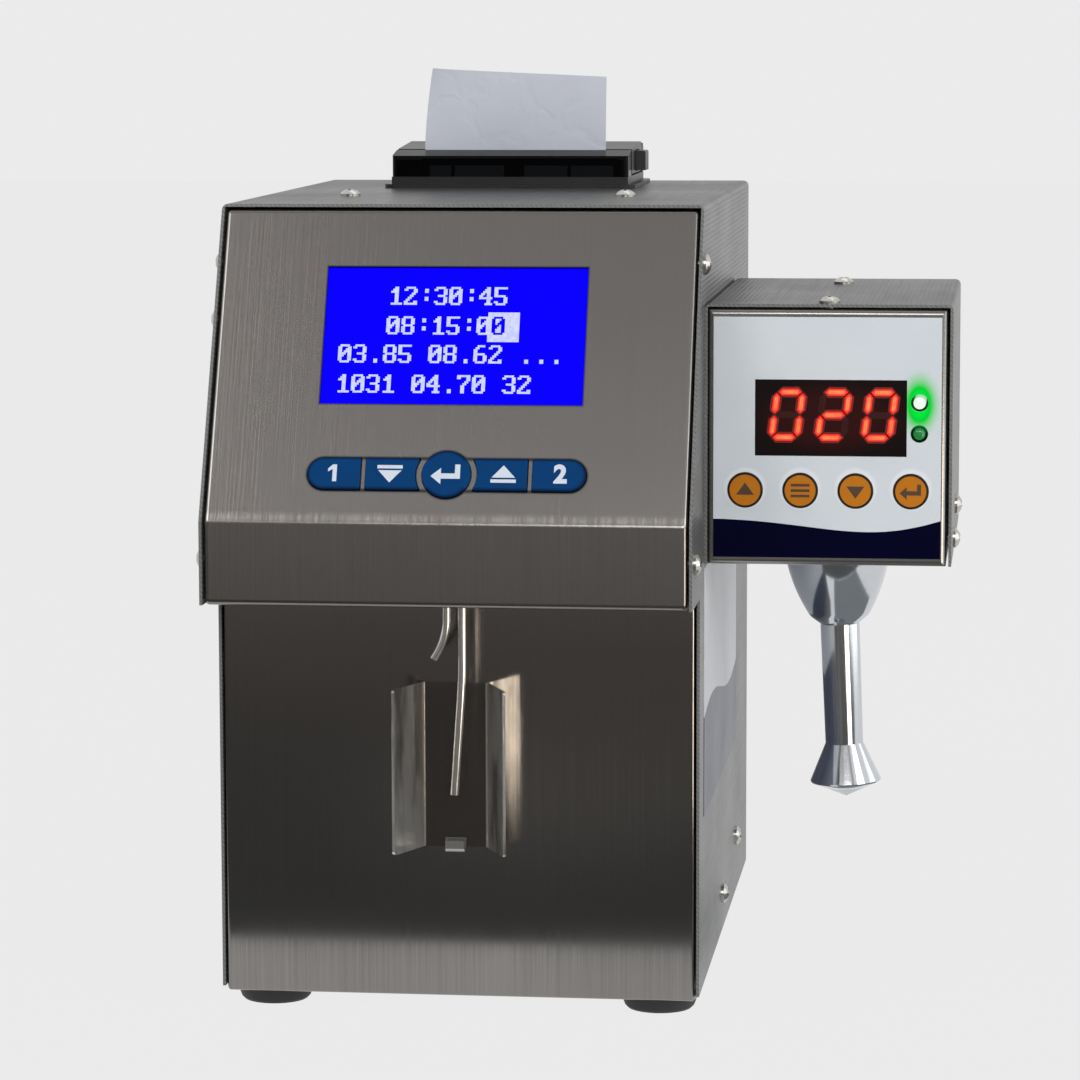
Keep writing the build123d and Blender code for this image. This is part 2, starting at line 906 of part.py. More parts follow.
# Front keys
key_flange_front = panel_sheet + key_flange_gap
key_middles = {
    "key_one": -(key_row_half + outer_edge) / 2,
    "key_down": -(inner_edge + hollow_radius) / 2,
    "key_enter": 0,
    "key_up": (inner_edge + hollow_radius) / 2,
    "key_two": (key_row_half + outer_edge) / 2,
}
outward = Axis(tilted.origin, tilted.z_dir)
for name, (left, right) in key_spans.items():
    middle = key_middles[name]
    with BuildPart() as front_key:
        with BuildSketch(tilted.offset(key_proud)) as key_outline:
            key_form(left, right, 0)
            fillet(key_outline.vertices(), radius=key_corner)
        extrude(amount=-(key_proud + key_body_depth))
        fillet(front_key.faces().sort_by(outward)[-1].edges(), radius=key_edge_round)
        with BuildSketch(under_tilt(key_flange_front)):
            span(middle - key_flange_length / 2, middle + key_flange_length / 2,
                 key_low - key_flange_reach, key_high + key_flange_reach)
        extrude(amount=-key_flange_thickness)
        with BuildSketch(under_tilt(key_body_depth)):
            with Locations((middle, key_row_middle)):
                Circle(key_stem_radius)
        extrude(amount=-(switch_front + switch_grip - key_body_depth))
    keep(front_key, name)

with BuildPart() as key_enter:
    with BuildSketch(tilted.offset(key_proud)):
        with Locations((0, key_row_middle)):
            Circle(key_round_radius)
    extrude(amount=-(key_proud + key_body_depth))
    fillet(key_enter.faces().sort_by(outward)[-1].edges(), radius=key_edge_round)
    with BuildSketch(under_tilt(key_flange_front)):
        with Locations((0, key_row_middle)):
            Rectangle(key_flange_length, 2 * (key_round_radius + key_round_flange_reach))
    extrude(amount=-key_flange_thickness)
    with BuildSketch(under_tilt(key_body_depth)):
        with Locations((0, key_row_middle)):
            Circle(key_stem_radius)
    extrude(amount=-(switch_front + switch_grip - key_body_depth))
keep(key_enter, "key_enter")

# Key board with a push switch behind each key
with BuildPart() as keypad_board:
    with BuildSketch(under_tilt(keypad_front)):
        with Locations((0, key_row_middle)):
            Rectangle(keypad_board_width, keypad_board_height)
    extrude(amount=-board_thickness)
    with BuildSketch(under_tilt(keypad_front)):
        with Locations(*[(middle, key_row_middle) for middle in key_middles.values()]):
            Rectangle(switch_size, switch_size)
    extrude(amount=switch_height)
    with BuildSketch(under_tilt(switch_front)):
        with Locations(*[(middle, key_row_middle) for middle in key_middles.values()]):
            Circle(key_stem_radius + running)
    extrude(amount=-switch_well_depth, mode=Mode.SUBTRACT)
keep(keypad_board, "keypad_board")

# Steel sample tubes under the head, and the block that grips them
underside_top = band_bottom_z + panel_sheet


def at_tube(x, drop):
    return (body_x + x, tube_y, band_bottom_z - drop)


with BuildPart() as intake_tube:
    with BuildLine() as intake_route:
        FilletPolyline(
            at_tube(intake_x, -tube_rise),
            at_tube(intake_x, intake_bend_drop),
            at_tube(intake_end_x, intake_end_drop),
            radius=intake_bend_radius,
        )
    tube_along(intake_route.wire(), tube_radius, tube_bore)
keep(intake_tube, "intake_tube")

with BuildPart() as outlet_tube:
    with BuildLine() as outlet_route:
        FilletPolyline(
            at_tube(outlet_x, -tube_rise),
            at_tube(outlet_x, outlet_bend_drop),
            at_tube(outlet_end_x, outlet_end_drop),
            radius=outlet_bend_radius,
        )
    tube_along(outlet_route.wire(), tube_radius, tube_bore)
keep(outlet_tube, "outlet_tube")

with BuildPart() as tube_block:
    with BuildSketch(level(underside_top)):
        with Locations(((intake_x + outlet_x) / 2, tube_y)):
            RectangleRounded(tube_block_width, tube_block_depth, radius=tube_radius)
    extrude(amount=tube_block_height)
    holes([moved_to(level(underside_top + tube_block_height), x, tube_y)
           for x in (intake_x, outlet_x)], tube_radius + running, tube_block_height)
keep(tube_block, "tube_block")

# Holder for the sample tube, folded from thin sheet
holder_y = back(lower_face_set) - holder_sheet / 2
holder_left = holder_middle - holder_web / 2
holder_right = holder_middle + holder_web / 2
holder_low = band_bottom_z - holder_drop - holder_height
stop_y = holder_y - holder_stop_reach
stop_z = holder_low - holder_stop_drop
with BuildPart() as tube_holder:
    with BuildSketch(level(holder_low)):
        bent_sheet(
            [
                (holder_left - holder_wing_spread, holder_y - holder_wing_reach),
                (holder_left, holder_y),
                (holder_right, holder_y),
                (holder_right + holder_wing_spread, holder_y - holder_wing_reach),
            ],
            holder_bend,
            holder_sheet,
        )
    extrude(amount=holder_height)
    sheet_edges = tube_holder.edges().filter_by(
        lambda edge: abs(edge.length - holder_sheet) < running
    )
    fillet(sheet_edges.filter_by_position(Axis.Y, front_y - overrun, stop_y), radius=holder_corner)
    with BuildSketch(facing_right(holder_middle - holder_stop_width / 2)):
        bent_sheet(
            [
                (holder_y, holder_low + holder_stop_lip),
                (holder_y, stop_z),
                (stop_y, stop_z),
                (stop_y, holder_low + holder_stop_lip),
            ],
            holder_bend,
            holder_sheet,
        )
    extrude(amount=holder_stop_width)
keep(tube_holder, "tube_holder")

# Peristaltic pump: housing with a U-shaped track, rotor, rollers and motor
pump_z = foot_height + pump_height
hose_y = frame_y - hose_plane_depth
with BuildPart() as pump_housing:
    with BuildSketch(facing_front(frame_y)):
        span(pump_x - housing_half, pump_x + housing_half,
             pump_z - housing_half, pump_z + pump_lift)
    extrude(amount=pump_back + pump_depth)
    with BuildSketch(facing_front(frame_y - pump_back)):
        with Locations((pump_x, pump_z)):
            Circle(pump_track_radius)
        span(pump_x - pump_track_radius, pump_x + pump_track_radius,
             pump_z, pump_z + pump_lift + overrun)
    extrude(amount=pump_depth, mode=Mode.SUBTRACT)
    with BuildSketch(facing_front(frame_y)):
        with Locations((pump_x, pump_z)):
            Circle(shaft_radius + running)
    extrude(amount=pump_back, mode=Mode.SUBTRACT)
keep(pump_housing, "pump_housing")

disc_y = hose_y + roller_length / 2 + rotor_end_gap
disc_spread = roller_length + 2 * rotor_end_gap
with BuildPart() as pump_rotor:
    for plane_y in (disc_y + rotor_disc, disc_y - disc_spread):
        with BuildSketch(facing_front(plane_y)):
            with Locations((pump_x, pump_z)):
                Circle(rotor_disc_radius)
        extrude(amount=rotor_disc)
    with BuildSketch(facing_front(disc_y)):
        with Locations((pump_x, pump_z)):
            Circle(rotor_hub_radius)
            with PolarLocations(roller_circle, roller_count):
                Circle(roller_pin_radius)
    extrude(amount=disc_spread)
    with BuildSketch(facing_front(frame_y + panel_sheet + shaft_grip)):
        with Locations((pump_x, pump_z)):
            Circle(shaft_radius)
    extrude(until=Until.NEXT)
keep(pump_rotor, "pump_rotor")

for number in range(roller_count):
    turn = 2 * pi * number / roller_count
    place = (pump_x + roller_circle * cos(turn), pump_z + roller_circle * sin(turn))
    with BuildPart() as pump_roller:
        with BuildSketch(facing_front(hose_y + roller_length / 2)):
            with Locations(place):
                Circle(roller_radius)
                Circle(roller_pin_radius + running, mode=Mode.SUBTRACT)
        extrude(amount=roller_length)
    keep(pump_roller, f"pump_roller_{number + 1}")

with BuildPart() as pump_motor:
    with BuildSketch(facing_back(frame_y + panel_sheet)):
        with Locations((-pump_x, pump_z)):
            Circle(motor_radius)
    extrude(amount=motor_length)
    with BuildSketch(facing_back(frame_y)):
        with Locations((-pump_x, pump_z)):
            Circle(motor_neck_radius)
    extrude(amount=panel_sheet)
    with BuildSketch(facing_back(frame_y)):
        with Locations((-pump_x, pump_z)):
            Circle(shaft_radius + running)
    extrude(amount=panel_sheet + shaft_grip + loose, mode=Mode.SUBTRACT)
keep(pump_motor, "pump_motor")

# Measuring cell with two ports on top and a crystal at each end
cell_low = foot_height + cell_bottom
cell_top = cell_low + cell_height
port_places = [cell_x - cell_port_spacing / 2, cell_x + cell_port_spacing / 2]
with BuildPart() as measuring_cell:
    with BuildSketch(facing_front(frame_y)):
        span(cell_x - cell_width / 2, cell_x + cell_width / 2, cell_low, cell_top)
    extrude(amount=cell_depth)
    with BuildSketch(level(cell_top)):
        with Locations(*[(x, hose_y) for x in port_places]):
            Circle(cell_port_radius)
    extrude(amount=cell_port_rise)
    holes([moved_to(level(cell_top + cell_port_rise), x, hose_y) for x in port_places],
          tube_bore, cell_port_rise + cell_height / 2)
    with BuildSketch(facing_right(port_places[0])):
        with Locations((hose_y, cell_top - cell_height / 2)):
            Circle(tube_bore)
    extrude(amount=cell_port_spacing, mode=Mode.SUBTRACT)
keep(measuring_cell, "measuring_cell")

with BuildPart() as cell_crystals:
    for side in (-1, 1):
        edge = cell_x + side * cell_width / 2
        with BuildSketch(facing_right(edge)):
            with Locations((frame_y - cell_depth / 2, cell_top - cell_height / 2)):
                Circle(crystal_radius)
        extrude(amount=side * crystal_thickness)
keep(cell_crystals, "cell_crystals")

# Hoses: intake to cell, and cell through the pump to the outlet
run_z = max(band_bottom_z + hose_run_rise, cell_top + hose_cross_rise + 2 * hose_bend)
hose_end_z = underside_top + tube_block_height + loose
cell_out, cell_in = (body_x + x for x in port_places)
pump_right = body_x + pump_x + hose_loop_radius
pump_left = body_x + pump_x - hose_loop_radius
hose_bore = tube_radius + running
with BuildPart() as intake_hose:
    with BuildLine() as intake_hose_route:
        FilletPolyline(
            (cell_in, hose_y, cell_top + loose),
            (cell_in, hose_y, run_z),
            (cell_in, tube_y, run_z),
            (body_x + intake_x, tube_y, run_z),
            (body_x + intake_x, tube_y, hose_end_z),
            radius=hose_bend,
        )
    tube_along(intake_hose_route.wire(), hose_radius, hose_bore)
keep(intake_hose, "intake_hose")

with BuildPart() as pump_hose:
    with BuildLine() as pump_hose_route:
        FilletPolyline(
            (cell_out, hose_y, cell_top + loose),
            (cell_out, hose_y, cell_top + hose_cross_rise),
            (pump_right, hose_y, cell_top + hose_cross_rise),
            (pump_right, hose_y, pump_z),
            radius=hose_bend,
        )
        ThreePointArc(
            (pump_right, hose_y, pump_z),
            (body_x + pump_x, hose_y, pump_z - hose_loop_radius),
            (pump_left, hose_y, pump_z),
        )
        FilletPolyline(
            (pump_left, hose_y, pump_z),
            (pump_left, hose_y, run_z),
            (body_x + outlet_x, hose_y, run_z),
            (body_x + outlet_x, tube_y, run_z),
            (body_x + outlet_x, tube_y, hose_end_z),
            radius=hose_bend,
        )
    tube_along(pump_hose_route.wire(), hose_radius, hose_bore)
keep(pump_hose, "pump_hose")

# Main board on standoffs
board_z = base_top + standoff_height
board_low_y = frame_y + frame_foot + main_board_gap
board_middle_y = board_low_y + main_board_depth / 2
board_top = board_z + board_thickness
with BuildPart() as board_standoffs:
    with BuildSketch(level(base_top)):
        with Locations((0, board_middle_y)):
            with GridLocations(main_board_width - 2 * standoff_inset,
                               main_board_depth - 2 * standoff_inset, 2, 2):
                RegularPolygon(standoff_radius, 6)
    extrude(amount=standoff_height)
keep(board_standoffs, "board_standoffs")

with BuildPart() as main_board:
    with BuildSketch(level(board_z)):
        with Locations((0, board_middle_y)):
            Rectangle(main_board_width, main_board_depth)
    extrude(amount=board_thickness)
    with BuildSketch(level(board_top)):
        with Locations((0, board_middle_y)):
            Rectangle(chip_size, chip_size)
            with GridLocations(chip_size * 2, chip_size * 2, 2, 1):
                Rectangle(chip_size / 2, chip_size)
    extrude(amount=chip_height)
    with BuildSketch(level(board_top)):
        with Locations((-main_board_width / 4, board_low_y + main_board_depth / 4)):
            with GridLocations(3 * capacitor_radius, 0, 3, 1):
                Circle(capacitor_radius)
    extrude(amount=capacitor_height)
    with BuildSketch(level(board_top)):
        with Locations((0, board_low_y + main_board_depth - connector_depth)):
            Rectangle(connector_width, connector_depth)
            with GridLocations(2 * connector_width, 0, 2, 1):
                Rectangle(connector_depth, connector_depth)
        with Locations((0, board_low_y + connector_depth)):
            Rectangle(connector_width, connector_depth)
    extrude(amount=connector_height)
keep(main_board, "main_board")

# Panel printer: case with its flange, tub, rim, rear block and hinge ears
printer_half = printer_width / 2
lid_rear = hinge_y + hinge_barrel_radius + hinge_gap
ear_outer = printer_half - printer_wall - loose
ear_inner = ear_outer - ear_thickness
tub_low = body_height - tub_depth


def across(x):
    """An x measured from the printer's middle."""
    return printer_x + x


with BuildPart() as printer_case:
    with BuildSketch(level(body_height)):
        with Locations((printer_x, (printer_front + printer_rear) / 2)):
            RectangleRounded(
                printer_flange_width,
                printer_length + printer_flange_front + printer_flange_rear,
                radius=printer_corner,
            )
    extrude(amount=printer_flange_thickness)
    with BuildSketch(level(tub_low)):
        span(across(-tub_half), across(tub_half), tub_front, tub_rear)
    extrude(amount=tub_depth)
    with BuildSketch(level(flange_top)):
        span(across(-printer_half), across(printer_half), printer_front, printer_rear)
    extrude(amount=printer_rim)
    with BuildSketch(facing_right(across(-printer_half))):
        span(lid_rear, printer_rear, flange_top, body_height + rear_block_top)
    extrude(amount=printer_width)
    block_edges = printer_case.edges().filter_by(Axis.X).group_by(Axis.Z)[-1]
    fillet(block_edges.sort_by(Axis.Y)[-1], radius=rear_block_round)
    with BuildSketch(level(tub_low + tub_wall)):
        span(across(-tub_half + tub_wall), across(tub_half - tub_wall),
             tub_front + tub_wall, tub_rear - tub_wall)
    extrude(amount=tub_depth + printer_flange_thickness + printer_rim, mode=Mode.SUBTRACT)
    for side in (-1, 1):
        near = across(side * ear_inner)
        far = across(side * ear_outer)
        with BuildSketch(facing_right(min(near, far))):
            with Locations((hinge_y, hinge_z)):
                Circle(ear_radius)
            span(hinge_y - ear_radius, hinge_y + ear_radius, flange_top, hinge_z)
            with Locations((hinge_y, hinge_z)):
                Circle(hinge_pin_radius + running, mode=Mode.SUBTRACT)
        extrude(amount=ear_thickness)
        snap_edge = across(side * tub_half)
        snap_tip = across(side * (tub_half + snap_reach))
        with BuildSketch(level(cover_under - loose - snap_height)):
            span(min(snap_edge, snap_tip), max(snap_edge, snap_tip),
                 (tub_front + tub_rear - snap_length) / 2, (tub_front + tub_rear + snap_length) / 2)
        extrude(amount=snap_height)
keep(printer_case, "printer_case")

# Fixed front bar ahead of the paper slot
bar_rear = printer_front + bar_depth
with BuildPart() as printer_front_bar:
    with BuildSketch(facing_right(across(-printer_half))):
        with BuildLine():
            Polyline(
                (printer_front, rim_top),
                (bar_rear, rim_top),
                (bar_rear, body_height + bar_rear_height),
                (printer_front + bar_front_chamfer, body_height + bar_front_height),
                (printer_front, body_height + bar_front_height - bar_front_chamfer),
                close=True,
            )
        make_face()
    extrude(amount=printer_width)
    fillet(printer_front_bar.edges().filter_by(Axis.Z).group_by(Axis.Y)[0], radius=bar_corner)
    with BuildSketch(facing_front(printer_front)):
        band_low = rim_top + bar_skin / 2
        band_left = bar_recess_shift - bar_recess_width / 2
        span(across(band_left), across(band_left + bar_recess_width),
             band_low, band_low + bar_recess_height)
    extrude(amount=-bar_recess_depth, mode=Mode.SUBTRACT)
    with BuildSketch(facing_right(across(-printer_half + bar_end))):
        span(printer_front + bar_skin, bar_rear + overrun,
             rim_top - overrun, body_height + bar_front_height - bar_skin)
    extrude(amount=printer_width - 2 * bar_end, mode=Mode.SUBTRACT)
keep(printer_front_bar, "printer_front_bar")

# Lid with its side skirts, hinge stubs and platen bearings
lid_front = bar_rear + slot_width
lid_front_z = body_height + lid_front_height
lid_top_z = hinge_z + hinge_barrel_radius
platen_y = printer_rear - platen_set
platen_z = body_height + platen_height

with BuildPart() as printer_lid:
    with BuildSketch(facing_right(across(-printer_half))):
        with BuildLine():
            lid_arc = RadiusArc((hinge_y, lid_top_z), (hinge_y + hinge_barrel_radius, hinge_z),
                                hinge_barrel_radius)
            low_arc = RadiusArc(lid_arc @ 1, (hinge_y, skirt_bottom), hinge_z - skirt_bottom)
            Polyline(low_arc @ 1, (lid_front, skirt_bottom), (lid_front, lid_front_z), lid_arc @ 0)
        make_face()
    extrude(amount=printer_width)
    inside_radius = hinge_barrel_radius - printer_wall
    with BuildSketch(facing_right(across(-printer_half + printer_wall))):
        with BuildLine():
            inside_arc = RadiusArc((hinge_y, hinge_z + inside_radius),
                                   (hinge_y + inside_radius, hinge_z), inside_radius)
            Polyline(
                inside_arc @ 1,
                (hinge_y + inside_radius, skirt_bottom - overrun),
                (lid_front - overrun, skirt_bottom - overrun),
                (lid_front - overrun, lid_front_z - printer_wall),
                inside_arc @ 0,
            )
        make_face()
    extrude(amount=printer_width - 2 * printer_wall, mode=Mode.SUBTRACT)
    for side in (-1, 1):
        near = across(side * (ear_inner - loose))
        far = across(side * (printer_half - printer_wall))
        with BuildSketch(facing_right(min(near, far))):
            span(hinge_y, hinge_y + hinge_barrel_radius + overrun,
                 skirt_bottom - overrun, lid_top_z + overrun)
        extrude(amount=abs(far - near), mode=Mode.SUBTRACT)
        with BuildSketch(level(skirt_bottom - overrun)):
            span(min(near, far), max(near, far), hinge_y, hinge_y + hinge_barrel_radius)
        extrude(amount=overrun, mode=Mode.SUBTRACT)
    with BuildSketch(facing_right(across(-ear_inner + loose))):
        span(hinge_y - overrun, hinge_y + hinge_barrel_radius + overrun,
             skirt_bottom - overrun, hinge_z)
    extrude(amount=2 * (ear_inner - loose), mode=Mode.SUBTRACT)
    for side in (-1, 1):
        skirt = across(side * (printer_half - printer_wall))
        with BuildSketch(facing_right(skirt)):
            with Locations((hinge_y, hinge_z)):
                Circle(hinge_pin_radius)
        extrude(amount=-side * hinge_pin_length)
        ear_side = across(side * (platen_length / 2 + loose))
        with BuildSketch(facing_right(ear_side)):
            span(platen_y - platen_ear_half, platen_y + platen_ear_half,
                 platen_z - platen_ear_drop, lid_front_z - running)
            with Locations((platen_y, platen_z)):
                Circle(platen_spindle_radius + running, mode=Mode.SUBTRACT)
        extrude(amount=side * platen_ear)
    latch_low_z = body_height + latch_low
    latch_high_z = body_height + latch_high
    latch_y = printer_rear - latch_set
    latch_front = latch_y - latch_length / 2
    latch_rear = latch_y + latch_length / 2
    with BuildSketch(facing_right(across(printer_half - printer_wall))):
        span(latch_front - loose, latch_rear + loose, latch_low_z - loose, latch_high_z + loose)
    extrude(amount=printer_wall, mode=Mode.SUBTRACT)
    pin_x = across(printer_half - printer_wall / 2)
    pin_z = latch_low_z + latch_pin_radius
    pin_reach = loose + latch_pin_length
    with BuildSketch(facing_front(latch_rear + pin_reach)):
        with Locations((pin_x, pin_z)):
            Circle(latch_pin_radius + running)
    extrude(amount=latch_length + 2 * pin_reach, mode=Mode.SUBTRACT)
keep(printer_lid, "printer_lid")

# Release latch in the lid's right skirt
with BuildPart() as printer_latch:
    with BuildSketch(facing_front(latch_rear)):
        span(across(printer_half - latch_inset), across(printer_half + latch_proud),
             latch_low_z, latch_high_z)
        with Locations((pin_x, pin_z)):
            Circle(latch_pin_radius)
    extrude(amount=latch_length)
    fillet(printer_latch.edges().filter_by(Axis.Y).group_by(Axis.Z)[-1], radius=latch_round)
    with BuildSketch(facing_front(latch_rear + pin_reach - running)):
        with Locations((pin_x, pin_z)):
            Circle(latch_pin_radius)
    extrude(amount=latch_length + 2 * (pin_reach - running))
keep(printer_latch, "printer_latch")

# Platen roller on its spindle
with BuildPart() as platen_roller:
    with BuildSketch(facing_right(across(-platen_length / 2))):
        with Locations((platen_y, platen_z)):
            Circle(platen_radius)
    extrude(amount=platen_length)
    with BuildSketch(facing_right(across(-platen_length / 2 - loose - platen_ear))):
        with Locations((platen_y, platen_z)):
            Circle(platen_spindle_radius)
    extrude(amount=platen_length + 2 * (loose + platen_ear))
keep(platen_roller, "platen_roller")

# Paper roll in the tub, and the strip that leaves it
roll_y = printer_rear - roll_set
roll_z = tub_low + tub_wall + loose + roll_radius
with BuildPart() as paper_roll:
    with BuildSketch(facing_right(across(-paper_width / 2))):
        with Locations((roll_y, roll_z)):
            Circle(roll_radius)
            Circle(roll_bore, mode=Mode.SUBTRACT)
    extrude(amount=paper_width)
keep(paper_roll, "paper_roll")

strip_y = printer_rear - paper_set
slot_z = body_height + lid_front_height
head_top = body_height + bar_front_height - bar_skin - loose
guide_z = head_top - head_height - paper_guide
winding = roll_radius + head_gap
leave = atan2(guide_z - roll_z, strip_y - roll_y)
leave += acos(winding / hypot(guide_z - roll_z, strip_y - roll_y))
with BuildPart() as paper_strip:
    with BuildSketch(facing_right(across(-paper_width / 2))):
        bent_sheet(
            [
                (roll_y + winding * cos(leave), roll_z + winding * sin(leave)),
                (strip_y, guide_z),
                (strip_y, slot_z + tub_front_margin),
                (strip_y + paper_lean, slot_z + paper_rise),
            ],
            paper_bend,
            paper_thickness,
        )
    extrude(amount=paper_width)
keep(paper_strip, "paper_strip")

# Thermal print head on the tub's front wall
with BuildPart() as thermal_head:
    with BuildSketch(facing_right(across(-head_width / 2))):
        span(tub_front + tub_wall, strip_y - head_gap, head_top - head_height, head_top)
    extrude(amount=head_width)
keep(thermal_head, "thermal_head")

# Rocker switch in the rear panel
rocker_middle_z = foot_height + rocker_z
rocker_half_w = rocker_width / 2 + rocker_gap
rocker_half_h = rocker_height / 2 + rocker_end_gap
rocker_y = rear_face - rocker_pivot_depth + rocker_frame_proud
with BuildPart() as rocker_frame:
    with BuildSketch(facing_back(rear_face)):
        with Locations((-rocker_x, rocker_middle_z)):
            Rectangle(2 * (rocker_half_w + rocker_frame_wall + rocker_frame_rim),
                      2 * (rocker_half_h + rocker_frame_wall + rocker_frame_rim))
    extrude(amount=rocker_frame_proud)
    with BuildSketch(facing_back(rear_face)):
        with Locations((-rocker_x, rocker_middle_z)):
            Rectangle(2 * (rocker_half_w + rocker_frame_wall), 2 * (rocker_half_h + rocker_frame_wall))
    extrude(amount=-rocker_frame_depth)
    with BuildSketch(facing_back(rear_face + rocker_frame_proud)):
        with Locations((-rocker_x, rocker_middle_z)):
            Rectangle(2 * rocker_half_w, 2 * rocker_half_h)
    extrude(amount=-(rocker_frame_depth + rocker_frame_proud - rocker_frame_wall),
            mode=Mode.SUBTRACT)
    with BuildSketch(facing_right(rocker_x - rocker_half_w - rocker_frame_wall / 2)):
        with Locations((rocker_y, rocker_middle_z)):
            Circle(rocker_pin_radius + running)
    extrude(amount=2 * rocker_half_w + rocker_frame_wall, mode=Mode.SUBTRACT)
keep(rocker_frame, "rocker_frame")

tilt_rise = rocker_height / 2 * tan(radians(rocker_tilt))
face_y = rear_face + rocker_frame_proud
with BuildPart() as power_rocker:
    with BuildSketch(facing_right(rocker_x - rocker_width / 2)):
        with BuildLine():
            Polyline(
                (rocker_y - rocker_root, rocker_middle_z - rocker_root),
                (rocker_y, rocker_middle_z - rocker_height / 2),
                (face_y + tilt_rise, rocker_middle_z - rocker_height / 2),
                (face_y, rocker_middle_z),
                (face_y, rocker_middle_z + rocker_height / 2),
                (rocker_y, rocker_middle_z + rocker_height / 2),
                (rocker_y - rocker_root, rocker_middle_z + rocker_root),
                close=True,
            )
        make_face()
    extrude(amount=rocker_width)
    with BuildSketch(facing_right(rocker_x - rocker_half_w - rocker_frame_wall / 2 + running)):
        with Locations((rocker_y, rocker_middle_z)):
            Circle(rocker_pin_radius)
    extrude(amount=2 * (rocker_half_w - running) + rocker_frame_wall)
keep(power_rocker, "power_rocker")

# Supply inlet and serial port in the rear panel
inlet_middle_z = foot_height + inlet_z
with BuildPart() as power_inlet:
    with BuildSketch(facing_back(rear_face - panel_sheet)):
        with Locations((-inlet_x, inlet_middle_z)):
            Rectangle(inlet_body, inlet_body)
    extrude(amount=-inlet_body_depth)
    with BuildSketch(facing_back(rear_face - panel_sheet)):
        with Locations((-inlet_x, inlet_middle_z)):
            Circle(inlet_nose_radius)
    extrude(amount=panel_sheet + inlet_proud)
    with BuildSketch(facing_back(rear_face + inlet_proud)):
        with Locations((-inlet_x, inlet_middle_z)):
            Circle(inlet_bore)
            Circle(inlet_pin_radius, mode=Mode.SUBTRACT)
    extrude(amount=-inlet_bore_depth, mode=Mode.SUBTRACT)
keep(power_inlet, "power_inlet")

port_middle_z = foot_height + port_z
with BuildPart() as serial_port:
    with BuildSketch(facing_back(rear_face - panel_sheet)):
        with Locations((-port_x, port_middle_z)):
            Rectangle(port_flange_width, port_flange_height)
    extrude(amount=-port_flange_thickness)
    with BuildSketch(facing_back(rear_face - panel_sheet - port_flange_thickness)):
        with Locations((-port_x, port_middle_z)):
            Rectangle(port_shell_width + port_shell_wall, port_shell_height + port_shell_wall)
    extrude(amount=-port_body_depth)
    with BuildSketch(facing_back(rear_face - panel_sheet)):
        with Locations((-port_x, port_middle_z)):
            RectangleRounded(port_shell_width, port_shell_height, radius=port_shell_corner)
            RectangleRounded(port_shell_width - 2 * port_shell_wall,
                             port_shell_height - 2 * port_shell_wall,
                             radius=port_shell_corner - port_shell_wall, mode=Mode.SUBTRACT)
        for side, count in zip((1, -1), port_row_counts):
            with Locations((-port_x, port_middle_z + side * port_row_offset)):
                with GridLocations(port_contact_pitch, 0, count, 1):
                    Circle(port_contact_radius)
    extrude(amount=panel_sheet + port_shell_reach)
keep(serial_port, "serial_port")

# Thin label on the cover's right side, below the stirrer box
with BuildPart() as side_label:
    with BuildSketch(facing_right(half_width)):
        span(back(label_front_set), ahead(label_rear_set),
             foot_height + label_bottom, stirrer_low - label_top_gap)
    extrude(amount=label_thickness)
keep(side_label, "side_label")

# Stirrer box: folded cover, and a tray with the front, bottom and rear
tray_left = stirrer_left + cover_sheet + tray_gap_left
tray_right = stirrer_right - cover_sheet - tray_gap_right
tray_top = stirrer_top - cover_sheet - tray_top_gap
tray_mid_x = (tray_left + tray_right) / 2
tray_mid_z = (stirrer_low + tray_top) / 2
stirrer_mid_x = (stirrer_left + stirrer_right) / 2
horn_y = (stirrer_front + stirrer_rear) / 2
with BuildPart() as stirrer_cover:
    with BuildSketch(facing_front(stirrer_front + tray_set_forward)):
        span(stirrer_left, stirrer_right, stirrer_low, stirrer_top)
    extrude(amount=-(stirrer_depth - tray_set_forward))
    stirrer_edges = stirrer_cover.edges().filter_by(Axis.Y).group_by(Axis.Z)[-1]
    fillet(stirrer_edges, radius=cover_bend)
    with BuildSketch(facing_front(stirrer_front)):
        span(stirrer_left + cover_sheet, stirrer_right - cover_sheet,
             stirrer_low - overrun, stirrer_top - cover_sheet)
    extrude(amount=-(stirrer_depth + overrun), mode=Mode.SUBTRACT)
    joint_seats = [moved_to(facing_left(stirrer_left), -y, z) for y, z in joint_places]
    holes(joint_seats, screw_radius + running, cover_sheet)
    holes(stirrer_side_screws + stirrer_top_screws, screw_hole, cover_sheet)
keep(stirrer_cover, "stirrer_cover")


def front_places(z_offset, *x_offsets):
    """Places on the tray's front, measured from its middle."""
    return [(tray_mid_x + x, tray_mid_z + z_offset) for x in x_offsets]


